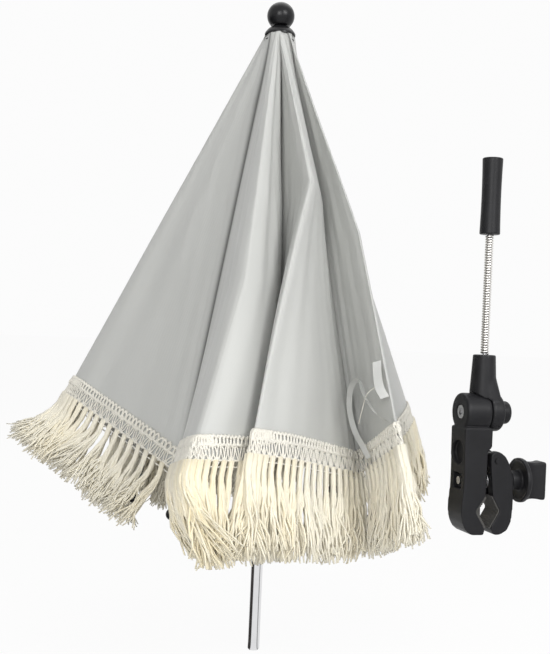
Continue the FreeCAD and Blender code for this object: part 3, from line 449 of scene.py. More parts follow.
@dataclass(frozen=True)
class BraidCotton:
    """Off-white crochet cotton of the braid."""

    name: str = "braid_cotton"
    colour: Colour = (0.84, 0.82, 0.75)
    shade: Colour = (0.70, 0.66, 0.56)
    twist_slant: Triple = (1.0, 1.0, 1.4)
    twists: float = 330.0
    patches: float = 60.0
    rough: Pair = (0.75, 0.95)
    sheen: float = 0.2
    relief: Pair = (0.4, 0.0004)

    def material(self) -> Material:
        """The finished material."""
        tree = ShaderTree(self.name)
        where = tree.place()
        twist = tree.waves(tree.scaled(where, self.twist_slant), self.twists, "DIAGONAL", 1.5)
        patch = tree.grain(where, self.patches, 3.0)
        return tree.surface(
            Base_Color=tree.mix(twist * 0.35 + patch * 0.25, self.colour, self.shade),
            Roughness=tree.span(patch, *self.rough),
            Sheen_Weight=self.sheen,
            Normal=tree.bump(twist, *self.relief),
        )


@dataclass(frozen=True)
class MouldedPlastic:
    """Black moulded nylon with a fine spark grain and rubbed patches."""

    name: str = "moulded_black"
    colour: Colour = (0.007, 0.007, 0.008)
    worn: Colour = (0.016, 0.016, 0.018)
    rough: Pair = (0.36, 0.52)
    sparks: float = 2600.0
    patches: float = 55.0
    shine: float = 0.22
    relief: Pair = (0.18, 0.0002)

    def material(self) -> Material:
        """The finished material."""
        tree = ShaderTree(self.name)
        where = tree.place()
        spark = tree.grain(where, self.sparks, 2.0)
        patch = tree.grain(where, self.patches, 4.0)
        return tree.surface(
            Base_Color=tree.mix(patch, self.colour, self.worn),
            Roughness=tree.span(patch * 0.6 + spark * 0.4, *self.rough),
            Specular_IOR_Level=self.shine,
            Normal=tree.bump(spark, *self.relief),
        )


@dataclass(frozen=True)
class PlatedMetal:
    """Bright metal with faint drawing lines along one axis and small dull spots."""

    name: str
    colour: Colour
    rough: Pair
    stretch: Triple = (900.0, 900.0, 14.0)
    spots: float = 140.0
    dulling: float = 0.86
    relief: Pair = (0.06, 0.0001)

    def material(self) -> Material:
        """The finished material."""
        tree = ShaderTree(self.name)
        where = tree.place()
        lines = tree.grain(tree.scaled(where, self.stretch), 1.0, 3.0)
        spots = tree.grain(where, self.spots, 4.0)
        dull = tuple(c * self.dulling for c in self.colour)
        return tree.surface(
            Base_Color=tree.mix(spots, self.colour, dull),
            Metallic=1.0,
            Roughness=tree.span(lines * 0.6 + spots * 0.4, *self.rough),
            Normal=tree.bump(lines, *self.relief),
        )


@dataclass(frozen=True)
class JawRubber:
    """Dull dark grey rubber."""

    name: str = "jaw_rubber"
    colour: Colour = (0.040, 0.039, 0.037)
    dusty: Colour = (0.085, 0.082, 0.076)
    specks: float = 240.0
    pores: float = 1900.0
    rough: Pair = (0.7, 0.9)
    relief: Pair = (0.25, 0.0003)

    def material(self) -> Material:
        """The finished material."""
        tree = ShaderTree(self.name)
        where = tree.place()
        dust = tree.grain(where, self.specks, 4.0)
        pores = tree.grain(where, self.pores, 1.0)
        return tree.surface(
            Base_Color=tree.mix(dust, self.colour, self.dusty),
            Roughness=tree.span(dust, *self.rough),
            Normal=tree.bump(pores, *self.relief),
        )


def finish_piece(
    name: str, bm: BMesh, material: Material, body: str, slot: Slot
) -> Object:
    """Makes a bmesh into a finished piece that rides on a body.

    Args:
        name: The piece's name.
        bm: Its mesh in the row frame, freed here.
        material: Its finish.
        body: The CAD body that it moves with.
        slot: The record's slot that the finish stands for.

    Returns:
        The new object.
    """
    obj = mesh_object(name, bm, material)
    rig.ride(obj, body)
    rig.slot(obj, slot.value)
    log.info("%s rides on %s", name, body)
    return obj


def mesh_object(name: str, bm: BMesh, material: Material) -> Object:
    """A smooth-shaded object at the origin from a bmesh, which is freed."""
    mesh = bpy.data.meshes.new(name)
    bm.to_mesh(mesh)
    bm.free()
    for polygon in mesh.polygons:
        polygon.use_smooth = True
    mesh.materials.append(material)
    obj = bpy.data.objects.new(name, mesh)
    bpy.context.scene.collection.objects.link(obj)
    return obj


def ease(share: float) -> float:
    """A smooth step from 0 to 1."""
    share = max(0.0, min(1.0, share))
    return share * share * (3.0 - 2.0 * share)


def least(fits: Callable[[float], bool], most: float, tries: int) -> float:
    """The smallest value above 0 that fits, found by halving.

    Args:
        fits: Whether a value is large enough.
        most: The largest value allowed.
        tries: How often the span is halved.

    Returns:
        The value.
    """
    low, high = 0.0, most
    for _ in range(tries):
        trial = (low + high) / 2
        if fits(trial):
            high = trial
        else:
            low = trial
    return high


@dataclass
class CanopyFrame:
    """Where the ribs and seams of the half-folded canopy run, in metres and degrees."""

    rib_count: int = 8
    pivot_radius: float = 0.009
    pivot_height: float = 0.475
    rest_angle: float = 14.0
    open_angle: float = 65.0
    first_bearing: float = -84.0
    cloth_offset: float = 0.0021
    hem_at_rib: float = 0.350
    brim_radius: float = 0.0118
    brim_height: float = 0.4832
    seam_wraps: tuple[float, ...] = (-60.0, 8.0, -50.0, -65.0, 30.0, 0.0, 0.0, -50.0)
    seam_hem_shares: tuple[float, ...] = (0.955, 1.07, 1.030, 0.995, 1.04, 1.022, 1.022, 1.022)
    rib_hem_shares: tuple[float, ...] = (1.0, 1.01, 0.98, 1.0, 1.0, 1.0, 1.0, 1.0)

    def bearing(self, rib: float) -> float:
        """The bearing of a rib in degrees from the front, rising to the right."""
        return self.first_bearing + 360.0 / self.rib_count * rib

    @staticmethod
    def outward(bearing: float) -> Vector:
        """The level direction away from the shaft at a bearing."""
        angle = math.radians(bearing)
        return Vector((math.sin(angle), -math.cos(angle), 0.0))

    @staticmethod
    def tangent(bearing: float) -> Vector:
        """The level direction of rising bearings."""
        angle = math.radians(bearing)
        return Vector((math.cos(angle), math.sin(angle), 0.0))

    def heading(self, bearing: float, polar: float) -> Vector:
        """The direction that leaves the shaft's downward line by the polar angle."""
        angle = math.radians(polar)
        return self.outward(bearing) * math.sin(angle) - Vector((0.0, 0.0, math.cos(angle)))

    def rib_line(self, rib: int) -> tuple[Vector, Vector]:
        """Start and direction of the cloth's line over a rib."""
        out = self.outward(self.bearing(rib))
        along = self.heading(self.bearing(rib), self.rest_angle)
        above = (out - along * out.dot(along)).normalized()
        start = out * self.pivot_radius + Vector((0.0, 0.0, self.pivot_height)) + above * self.cloth_offset
        return start, along

    def seam_line(self, gore: int) -> tuple[Vector, Vector]:
        """Start and direction of a gore's middle seam, with both halves as wide as they are when taut."""
        near, far = self.bearing(gore), self.bearing(gore + 1)
        first, second = self.heading(near, self.rest_angle), self.heading(far, self.rest_angle)
        taut = self.heading(near, self.open_angle).angle(self.heading(far, self.open_angle))
        middle = (first + second).normalized()
        bearing = self.bearing(gore + 0.5)
        out = self.outward(bearing)
        radial = (out - middle * out.dot(middle)).normalized()
        wrap = math.radians(self.seam_wraps[gore])
        lean = radial * math.cos(wrap) + self.tangent(bearing) * math.sin(wrap)

        def tilted(tilt: float) -> Vector:
            """The seam at an angle from the gore's middle."""
            return middle * math.cos(tilt) + lean * math.sin(tilt)

        def is_taut(tilt: float) -> bool:
            """Whether both halves together are as wide as when the canopy is open."""
            return tilted(tilt).angle(first) + tilted(tilt).angle(second) >= taut

        seam = tilted(least(is_taut, taut, tries=50))
        start = (self.outward(near) + self.outward(far)) * (self.pivot_radius / 2)
        return start + Vector((0.0, 0.0, self.pivot_height)), seam


@dataclass(frozen=True)
class CrestBend:
    """How a lobe's crest leaves its straight line: furthest at one place on the way down."""

    place: float = 0.5
    shift: Triple = (0.0, 0.0, 0.0)

    def at(self, down: float) -> Vector:
        """The crest's shift at a share of the way down."""
        share = min(down / self.place, (1.0 - down) / (1.0 - self.place))
        return Vector(self.shift) * max(0.0, share)


@dataclass
class HalfGore:
    """One half of a gore: the cloth from the rib that it folds on to the crest where the halves meet."""

    frame: CanopyFrame
    gore: int
    side: Side
    bend: CrestBend = CrestBend()
    columns: int = 40
    rows: int = 60
    crowding: float = 1.6
    step: float = 0.01
    collar_share: float = 0.10
    bow_place: float = 0.36
    bow_share: float = 0.035
    crest_share: float = 0.12
    bend_ease: float = 2.0
    bend_reach: float = 0.06
    bend_start: float = 0.3
    usual_width: float = 0.118
    rise: float = 1.4
    pleat_size: float = 0.0009
    pleat_pitch: float = 0.0085
    pleat_rise: float = 0.005
    pleat_fade: float = 0.018
    lip_size: float = 0.0012
    lip_rise: float = 0.0028
    lip_fade: float = 0.007
    gather_size: float = 0.0009
    gather_count: float = 2.5
    gather_rise: float = 0.06
    gather_fade: float = 0.3
    gather_hold: float = 4.0
    crumple_size: float = 0.0020
    crumple_hold: float = 0.7
    slow_weight: float = 1.5
    slow_folds: Pair = (2.6, 3.2)
    long_folds: Pair = (7.0, 1.3)
    phases: Pair = (1.7, 2.3)
    seeds: Triple = (7.3, 3.1, 4.0)
    seam_width: float = 0.0019
    seam_depth: float = 0.30
    cut_above_hem: float = 0.0085
    weave: Pair = (0.12, 0.35)
    flat_ease: float = 1.04
    flat: Pair = (0.0, 0.0)
    area: float = 0.0
    lines: dict[str, tuple[Vector, Vector]] = field(default_factory=dict)

    def __post_init__(self) -> None:
        """Works out the rib and seam lines that the half lies between."""
        self.lines = {
            "rib": self.frame.rib_line(self.rib_of("rib")),
            "other": self.frame.rib_line(self.rib_of("other")),
            "seam": self.frame.seam_line(self.gore),
        }

    @property
    def label(self) -> str:
        """The half's number and letter."""
        return f"{self.gore + 1}{self.side.value}"

    @property
    def body(self) -> str:
        """The CAD body that it moves with."""
        return f"half_{self.label}"

    def rib_of(self, line: str) -> int:
        """The number of the rib that the half folds on, or of the gore's other one."""
        return self.gore if (line == "rib") == (self.side is Side.FIRST) else self.gore + 1

    def hem_on(self, line: str) -> float:
        """How far down a line the hem lies."""
        if line == "seam":
            return self.frame.hem_at_rib * self.frame.seam_hem_shares[self.gore]
        return self.frame.hem_at_rib * self.frame.rib_hem_shares[self.rib_of(line) % self.frame.rib_count]

    def line_point(self, line: str, share: float) -> Vector:
        """A point on a line, from the cloth's top at 0 to the hem at 1."""
        start, along = self.lines[line]
        return start + along * (share * self.hem_on(line))

    def brim_point(self, line: str) -> Vector:
        """Where a line leaves the cap's brim."""
        _, along = self.lines[line]
        out = Vector((along.x, along.y, 0.0)).normalized()
        return out * self.frame.brim_radius + Vector((0.0, 0.0, self.frame.brim_height))

    def edge_point(self, line: str, down: float) -> Vector:
        """A point on a line that has been led in under the brim: quickly over a rib, slowly along a crest."""
        shift = self.brim_point(line) - self.line_point(line, 0.0)
        if line == "seam":
            return self._bent(self.line_point(line, down) + shift * max(0.0, 1.0 - down), down)
        left = max(0.0, 1.0 - down / self.collar_share)
        return self.line_point(line, down) + shift * (left * left)

    def _bent(self, crest: Vector, down: float) -> Vector:
        """A crest's point moved aside by the bend, and then out until the halves are as wide as before."""
        aside = self.bend.at(down)
        if aside.length < 1e-6:
            return crest
        ribs = [self.edge_point(name, down) for name in ("rib", "other")]
        out = (crest - (ribs[0] + ribs[1]) / 2).normalized()
        wide = sum((crest - rib).length for rib in ribs) * (1.0 + self.bend_ease * aside.length)

        def is_wide(push: float) -> bool:
            """Whether both halves together are as wide as they should be."""
            return sum((crest + aside + out * push - rib).length for rib in ribs) >= wide

        most = self.bend_reach * ease(down / self.bend_start)
        return crest + aside + out * least(is_wide, most, tries=24)

    def smooth_point(self, across: float, down: float) -> tuple[Vector, Vector]:
        """The unwrinkled cloth.

        Args:
            across: 0 at the rib, 1 at the seam.
            down: 0 under the brim, 1 at the hem.

        Returns:
            The point, and the direction that wrinkles move it in.
        """
        rib, seam, other = (self.edge_point(line, down) for line in ("rib", "seam", "other"))
        chord = seam - rib
        towards = (other - rib).normalized()
        unit = chord.normalized()
        outside = -(towards - unit * towards.dot(unit))
        outside = outside.normalized() if outside.length > 1e-6 else -towards
        first = rib + chord * self.bow_place + outside * (chord.length * self.bow_share)
        last = seam - towards * (chord.length * self.crest_share)
        rest = 1.0 - across
        point = (
            rib * rest**3
            + first * (3 * rest * rest * across)
            + last * (3 * rest * across * across)
            + seam * across**3
        )
        return point, outside

    def cloth_point(self, across: float, down: float) -> Vector:
        """The wrinkled cloth: gathers under the brim, pleats beside the rib, a slow crumple in between."""
        point, outside = self.smooth_point(across, down)
        away = across * (self.usual_width * max(0.0, down))
        raised = self._pleats(away) + self._crumple(across, down) + self._lip(away)
        return point + outside * (ease(down * self.rise) * raised + self._gathers(across, down))

    def _pleats(self, away: float) -> float:
        """The height of the pleats at a distance from the rib."""
        swing = math.sin(math.tau * away / self.pleat_pitch + self.gore * self.phases[0])
        return swing * math.exp(-away / self.pleat_fade) * ease(away / self.pleat_rise) * self.pleat_size

    def _lip(self, away: float) -> float:
        """The height of the fold that lies beside the rib."""
        fall = math.exp(-max(0.0, away - self.lip_rise) / self.lip_fade)
        return ease(away / self.lip_rise) * fall * self.lip_size

    def _gathers(self, across: float, down: float) -> float:
        """The height of the gathers under the brim."""
        swing = math.sin(math.tau * across * self.gather_count + self.gore * self.phases[1])
        reach = math.exp(-((down / self.gather_fade) ** 2)) * ease(down / self.gather_rise)
        held = ease(across * self.gather_hold) * ease((1.0 - across) * self.gather_hold)
        return swing * reach * held * self.gather_size

    def _crumple(self, across: float, down: float) -> float:
        """The height of the slow folds, which die away at rib and crest."""
        if not 0.0 < across < 1.0:
            return 0.0
        seed = Vector((self.gore * self.seeds[0], self.side.sign * self.seeds[1], 0.0))
        slow, long = (
            noise.noise(seed + Vector((across * folds[0], down * folds[1], layer)))
            for folds, layer in ((self.slow_folds, 0.0), (self.long_folds, self.seeds[2]))
        )
        hold = math.sin(math.pi * across) ** self.crumple_hold
        return (slow * self.slow_weight + long) * hold * self.crumple_size

    def _along(self, across: float, down: float) -> Vector:
        """A short step over the cloth towards the seam."""
        left, right = max(0.0, across - self.step), min(1.0, across + self.step)
        return self.cloth_point(right, down) - self.cloth_point(left, down)

    def cloth_normal(self, across: float, down: float) -> Vector:
        """The outward normal of the cloth."""
        fall = self.cloth_point(across, down + self.step) - self.cloth_point(across, down - self.step)
        return self._along(across, down).cross(fall).normalized() * -self.side.sign

    def drop(self, above_hem: float) -> float:
        """The share of the way down at a height above the hem."""
        return 1.0 - above_hem / self.frame.hem_at_rib

    def cloth(self, material: Material) -> Object:
        """Builds the sheet of cloth from the brim down to the braid's windows."""
        bm = bmesh.new()
        uv = bm.loops.layers.uv.new("weave")
        seam = bm.verts.layers.float.new("seam")
        bmesh.ops.create_grid(bm, x_segments=self.columns, y_segments=self.rows, size=0.5)
        lowest = self.drop(self.cut_above_hem)
        places = {}
        for vert in bm.verts:
            across, down = (vert.co.x + 0.5) ** self.crowding, (0.5 - vert.co.y) * lowest
            places[vert.index] = (across * self.weave[0] * max(0.1, down), down * self.weave[1])
            vert.co = self.cloth_point(across, down)
            beside = across * self.usual_width * max(0.15, down) / self.seam_width
            vert[seam] = self.seam_depth * math.exp(-(beside**2))
        for face in bm.faces:
            for loop in face.loops:
                loop[uv].uv = places[loop.vert.index]
        if self.side is Side.FIRST:
            bmesh.ops.reverse_faces(bm, faces=bm.faces[:])
        self.area = sum(face.calc_area() for face in bm.faces)
        self.flat = (self.hem_width * self.flat_ease, self.frame.hem_at_rib)
        obj = finish_piece(f"canopy_{self.label}", bm, material, self.body, Slot.CLOTH)
        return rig.replaces(obj, f"canopy_half_{self.label}")

    def pull_taut(self, piece: Object, keep: float) -> None:
        """Flattens a piece into the half's own plane as the canopy opens.

        Args:
            piece: The cloth, or trim that is sewn to it.
            keep: The share of its folds that is left when the canopy is fully open.
        """
        start, along = self.lines["rib"]
        axis = along.cross(self._hem_chord()).normalized()
        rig.squash(piece, "canopy_open", axis=tuple(axis), anchor=tuple(start), keep=keep)

    def _hem_chord(self) -> Vector:
        """The straight way along the hem from rib to seam."""
        return self.line_point("seam", 1.0) - self.line_point("rib", 1.0)

    @property
    def hem_width(self) -> float:
        """The straight distance along the hem from rib to seam."""
        return self._hem_chord().length

    def hem_frame(self, across: float, above: float) -> tuple[Vector, Vector, Vector, Vector]:
        """A place on the cloth near the hem.

        Args:
            across: 0 at the rib, 1 at the seam.
            above: The height above the hem.

        Returns:
            The point, and the directions along the hem, upwards and outwards.
        """
        down = self.drop(above)
        along = self._along(across, down).normalized()
        normal = self.cloth_normal(across, down)
        up = normal.cross(along).normalized() * self.side.sign
        return self.cloth_point(across, down), along, up, normal


def stamp(bm: BMesh, shape: Mesh, place: Placer) -> list[bmesh.types.BMVert]:
    """Adds a copy of a small shape to a bmesh, each of its points led to its place.

    Args:
        bm: The bmesh to add to.
        shape: The small shape.
        place: Gives a point's place in the row frame.

    Returns:
        The new vertices.
    """
    before = len(bm.verts)
    bm.from_mesh(shape)
    bm.verts.ensure_lookup_table()
    added = bm.verts[before:]
    for vert in added:
        vert.co = place(vert.co)
    return added


def small_shape(name: str, bm: BMesh) -> Mesh:
    """Keeps a bmesh as a mesh that is stamped many times."""
    mesh = bpy.data.meshes.new(name)
    bm.to_mesh(mesh)
    bm.free()
    return mesh


def edges_along(bm: BMesh, axis: int, length: float) -> list[bmesh.types.BMEdge]:
    """The edges that go further than a length along one axis."""
    return [e for e in bm.edges if abs(e.verts[0].co[axis] - e.verts[1].co[axis]) > length]


def standing_circle(bm: BMesh, radius: float, sides: int, centre: Any) -> None:
    """Adds a circle in an upright plane, ready to be spun about a Z axis."""
    made = bmesh.ops.create_circle(bm, cap_ends=False, radius=radius, segments=sides)["verts"]
    bmesh.ops.rotate(bm, verts=made, cent=(0, 0, 0), matrix=Matrix.Rotation(math.pi / 2, 3, "X"))
    bmesh.ops.translate(bm, verts=made, vec=centre)


def upright_cone(sides: int, radii: Pair, length: float, centre: Triple) -> BMesh:
    """A closed cone or bar along Z, by its radii below and above."""
    bm = bmesh.new()
    low, high = radii
    bmesh.ops.create_cone(bm, cap_ends=True, segments=sides, radius1=low, radius2=high, depth=length)
    bmesh.ops.translate(bm, verts=bm.verts[:], vec=centre)
    return bm


def round_edges(
    bm: BMesh, edges: list[bmesh.types.BMEdge], offset: float, segments: int, clamp: bool = False
) -> None:
    """Rounds some edges, kept from overlapping where wanted."""
    bmesh.ops.bevel(
        bm,
        geom=edges,
        offset=offset,
        offset_type="OFFSET",
        segments=segments,
        profile=0.5,
        affect="EDGES",
        material=-1,
        clamp_overlap=clamp,
    )


def ring_shape(name: str, thread: float, sides: int = 4, steps: int = 9) -> Mesh:
    """A loop of thread of unit radius in the XY plane."""
    bm = bmesh.new()
    standing_circle(bm, thread, sides, (1.0, 0.0, 0.0))
    bmesh.ops.spin(
        bm,
        geom=bm.verts[:] + bm.edges[:],
        cent=(0, 0, 0),
        axis=(0, 0, 1),
        angle=math.tau,
        steps=steps,
        use_merge=True,
    )
    bmesh.ops.remove_doubles(bm, verts=bm.verts[:], dist=1e-5)
    bmesh.ops.recalc_face_normals(bm, faces=bm.faces[:])
    return small_shape(name, bm)


def thread_shape(name: str, cuts: int, taper: float, sides: int = 4) -> Mesh:
    """A thread of unit radius along +Z from 0 to 1."""
    bm = upright_cone(sides, (1.0, taper), 1.0, (0.0, 0.0, 0.5))
    bmesh.ops.subdivide_edges(bm, edges=edges_along(bm, 2, 0.5), cuts=cuts)
    return small_shape(name, bm)


@dataclass
class HemBraid:
    """Crochet braid along a hem: a row of loops, a row of long slanted loops and the cords that tie them."""

    half: HalfGore
    pitch: float = 0.0039
    lift: float = 0.0009
    loop_thread: float = 0.44
    loop_middle: float = 0.0212
    loop_size: Pair = (0.0019, 0.0030)
    loop_wobble: Pair = (0.0004, 0.25)
    long_thread: float = 0.42
    long_middle: float = 0.0138
    long_size: Pair = (0.0013, 0.0050)
    long_lean: Pair = (0.22, 0.3)
    cords: tuple[Pair, ...] = ((0.0186, 0.0010), (0.0087, 0.0008), (0.0046, 0.0005))
    cord_cuts: int = 30
    seeds: Pair = (0.7, 5.1)

    def build(self, material: Material) -> Object:
        """Stamps the loops and cords along the hem."""
        bm = bmesh.new()
        ring = ring_shape("braid_ring", self.loop_thread)
        long_ring = ring_shape("braid_long_ring", self.long_thread)
        cord = thread_shape("braid_cord", self.cord_cuts, 1.0)
        count = round(self.half.hem_width / self.pitch)
        for step in range(count):
            across = (step + 0.5) / count
            seed = (step * self.seeds[0], self.half.gore * self.seeds[1], self.half.side.sign)
            wobble = noise.noise(Vector(seed))
            above = self.loop_middle + wobble * self.loop_wobble[0]
            self._loop(bm, ring, across, above, self.loop_size, wobble * self.loop_wobble[1])
            slant, uneven = self.long_lean
            lean = (slant if step % 2 else -slant) + wobble * uneven
            self._loop(bm, long_ring, across, self.long_middle, self.long_size, lean)
        for above, thread in self.cords:
            stamp(bm, cord, lambda p, above=above, thread=thread: self._on_cord(p, above, thread))
        bmesh.ops.recalc_face_normals(bm, faces=bm.faces[:])
        return finish_piece(f"braid_{self.half.label}", bm, material, self.half.body, Slot.CLOTH)

    def _loop(
        self, bm: BMesh, ring: Mesh, across: float, above: float, size: Pair, lean: float
    ) -> None:
        """Stamps one oval loop on the cloth."""
        point, along, up, out = self.half.hem_frame(across, above)
        point = point + out * self.lift
        turn = math.sin(lean)

        def place(p: Vector) -> Vector:
            """A point of the ring, in the cloth's own directions."""
            x, y = p.x * size[0], p.y * size[1]
            return point + along * (x + y * turn) + up * y + out * (p.z * size[0])

        stamp(bm, ring, place)

    def _on_cord(self, p: Vector, above: float, thread: float) -> Vector:
        """A point of a cord that runs the whole hem."""
        point, _, up, out = self.half.hem_frame(p.z, above)
        return point + up * (p.x * thread) + out * (p.y * thread + self.lift)


@dataclass
class TasselRow:
    """The tassels of one half gore: bundles of thread from the braid's posts."""

    half: HalfGore
    pitch: float = 0.0084
    post_top: float = 0.0088
    post_width: float = 0.0013
    post_drop: float = 0.003
    post_lifts: Pair = (0.0012, 0.0008)
    post_depths: Pair = (0.0006, 0.0010)
    post_share: float = 0.14
    length: float = 0.056
    length_shares: Pair = (0.86, 1.03)
    bare: float = 0.02
    strands: int = 21
    thread: float = 0.0014
    thread_cuts: int = 7
    taper: float = 0.45
    spread: float = 0.0086
    depth: float = 0.0060
    middle_share: float = 0.36
    stray: float = 0.003
    wave: float = 0.0056
    beats: float = 7.0
    fall: float = 0.55
    sway: float = 0.62
    sway_seeds: Triple = (4.5, 3.7, 2.0)
    sway_stray: float = 0.08
    out_stray: Pair = (-0.05, 0.08)
    tip_lean: Pair = (0.45, 0.26)
    kick: Triple = (0.0, 0.0, 0.0)
    kick_rise: float = 1.15
    kick_floor: float = 0.0
    tint_patches: float = 26.0
    tint_seed: Triple = (3.0, 1.0, 5.0)
    tint_base: float = 0.10
    tint_share: float = 0.75
    tint_shares: Pair = (0.5, 1.3)

    def build(self, material: Material) -> Object:
        """Stamps every thread of every tassel."""
        bm = bmesh.new()
        tint = bm.verts.layers.float.new("tint")
        thread = thread_shape("tassel_thread", self.thread_cuts, self.taper)
        chance = random.Random(100 * self.half.gore + self.half.side.sign)
        count = round(self.half.hem_width / self.pitch)
        for step in range(count):
            share = (step + 0.5) / count
            self._tassel(bm, tint, thread, self.bare + (1.0 - self.bare) * share, chance)
        return finish_piece(f"tassels_{self.half.label}", bm, material, self.half.body, Slot.CLOTH)

    def _tassel(self, bm: BMesh, tint: Any, thread: Mesh, across: float, chance: random.Random) -> None:
        """Stamps the threads of one tassel."""
        top, along, up, out = self.half.hem_frame(across, self.post_top)
        foot = self.half.hem_frame(across, 0.0)[0] + out * self.post_lifts[1]
        top = top + out * self.post_lifts[0]
        heading = self._heading(across, along, up, out, chance)
        patch = noise.noise(top * self.tint_patches + Vector(self.tint_seed))
        colour = max(0.0, patch + self.tint_base) * self.tint_share
        for _ in range(self.strands):
            angle, reach = chance.uniform(0, math.tau), math.sqrt(chance.random())
            aside, deep = math.cos(angle) * reach, math.sin(angle) * reach
            length = self.length * chance.uniform(*self.length_shares)
            on_post = along * (aside * self.post_width)
            start = top + on_post + out * (deep * self.post_depths[0])
            knee = foot - up * self.post_drop + on_post + out * (deep * self.post_depths[1])
            end = foot + heading * length + along * (aside * self.spread) + out * (deep * self.depth)
            middle = knee + (heading - up).normalized() * (length * self.middle_share)
            middle = middle + along * chance.uniform(-self.stray, self.stray)
            ripple = (along * chance.uniform(-1, 1) + out * chance.uniform(-1, 1)) * self.wave
            path = (start, knee, middle, end, ripple)
            beat = chance.uniform(0, math.tau)
            shade = min(1.0, colour * chance.uniform(*self.tint_shares))
            for vert in stamp(bm, thread, self._placer(path, beat, along, out)):
                vert[tint] = shade

    def _heading(
        self, across: float, along: Vector, up: Vector, out: Vector, chance: random.Random
    ) -> Vector:
        """Which way a tassel hangs: down, swayed with its neighbours, and aside from the rib's tip."""
        scales = self.sway_seeds
        seed = (across * scales[0], self.half.gore * scales[1], self.half.side.sign * scales[2])
        swayed = noise.noise(Vector(seed)) * self.sway + chance.uniform(-self.sway_stray, self.sway_stray)
        lean, reach = self.tip_lean
        swayed += lean * max(0.0, 1.0 - across / reach)
        kicked = Vector(self.kick) * max(self.kick_floor, ease(across * self.kick_rise))
        hang = -up * (1.0 - self.fall) + Vector((0.0, 0.0, -self.fall)) + kicked
        return (hang.normalized() + along * swayed + out * chance.uniform(*self.out_stray)).normalized()

    def _placer(self, path: tuple[Vector, ...], beat: float, along: Vector, out: Vector) -> Placer:
        """What leads a thread's points down its post, and then in one rippled curve to its end."""
        start, knee, middle, end, ripple = path
        post = self.post_share

        def place(p: Vector) -> Vector:
            """A point of the thread."""
            share = max(0.0, (p.z - post) / (1.0 - post))
            if p.z < post:
                centre = start.lerp(knee, p.z / post)
            else:
                centre = knee.lerp(middle, share).lerp(middle.lerp(end, share), share)
            centre = centre + ripple * (math.sin(beat + self.beats * share) * share)
            return centre + along * (p.x * self.thread) + out * (p.y * self.thread)

        return place


def spline_point(points: list[Vector], share: float) -> Vector:
    """A point on the smooth curve through some points.

    Args:
        points: The points that it goes through.
        share: 0 at the first, 1 at the last.

    Returns:
        The point.
    """
    place = min(share, 0.9999) * (len(points) - 1)
    first = int(place)
    t = place - first
    before, here, after, beyond = (points[max(0, min(len(points) - 1, first + k))] for k in (-1, 0, 1, 2))
    return 0.5 * (
        2 * here
        + (after - before) * t
        + (2 * before - 5 * here + 4 * after - beyond) * t * t
        + (3 * here - before - 3 * after + beyond) * t**3
    )


@dataclass
class Ribbon:
    """A narrow strip on a half gore, through places given as across, above the hem and off the cloth."""

    name: str
    half: HalfGore
    places: tuple[Triple, ...]
    width: float
    steps: int = 40
    columns: int = 4
    look: float = 0.01
    lying: float = 0.6
    standing: float = 0.8

    def build(self, material: Material) -> Object:
        """Builds the strip along its curve, standing a little on edge where it turns."""
        bm = bmesh.new()
        bmesh.ops.create_grid(bm, x_segments=self.columns, y_segments=self.steps, size=0.5)
        for vert in bm.verts:
            vert.co = self._place(vert.co.x, vert.co.y + 0.5)
        return finish_piece(self.name, bm, material, self.half.body, Slot.CLOTH)

    def _spot(self, across: float, above: float, off: float) -> Vector:
        """A place over the cloth."""
        point, _, _, out = self.half.hem_frame(across, above)
        return point + out * off

    def _place(self, side: float, share: float) -> Vector:
        """A point of the strip: side from -0.5 to 0.5 of its width."""
        spots = [self._spot(*place) for place in self.places]
        before, here, after = (
            spline_point(spots, max(0.0, min(1.0, share + look))) for look in (-self.look, 0.0, self.look)
        )
        middle = spline_point([Vector(place) for place in self.places], share)
        normal = self.half.cloth_normal(middle.x, self.half.drop(middle.y))
        across = (after - before).cross(normal).normalized()
        turned = across * self.lying + normal * self.standing
        return here + turned * (side * self.width)


@dataclass
class TipTab:
    """The tongue of satin that ties a gore's corner to the rib's tip."""

    frame: CanopyFrame
    rib: int
    start: float = 0.334
    end: float = 0.3655
    wide: float = 0.0104
    narrow: float = 0.0030
    lift: float = 0.0014
    sink: float = 0.3
    wrap: float = 90.0
    columns: int = 6
    rows: int = 14
    area: float = 0.0

    def build(self, material: Material) -> Object:
        """Builds the tongue, laid over the rib and drawn narrow at the tip."""
        origin, along = self.frame.rib_line(self.rib)
        tangent = self.frame.tangent(self.frame.bearing(self.rib))
        above = tangent.cross(along).normalized()
        bm = bmesh.new()
        bmesh.ops.create_grid(bm, x_segments=self.columns, y_segments=self.rows, size=0.5)
        for vert in bm.verts:
            share = 0.5 - vert.co.y
            side = vert.co.x * (self.wide + (self.narrow - self.wide) * ease(share))
            height = self.lift * (1.0 - share * self.sink) - self.wrap * side * side
            vert.co = origin + along * (self.start + share * self.length) + tangent * side + above * height
        bmesh.ops.recalc_face_normals(bm, faces=bm.faces[:])
        self.area = sum(face.calc_area() for face in bm.faces)
        return finish_piece(f"tip_tab_{self.rib + 1}", bm, material, f"rib_{self.rib + 1}", Slot.CLOTH)

    @property
    def length(self) -> float:
        """The tongue's length."""
        return self.end - self.start


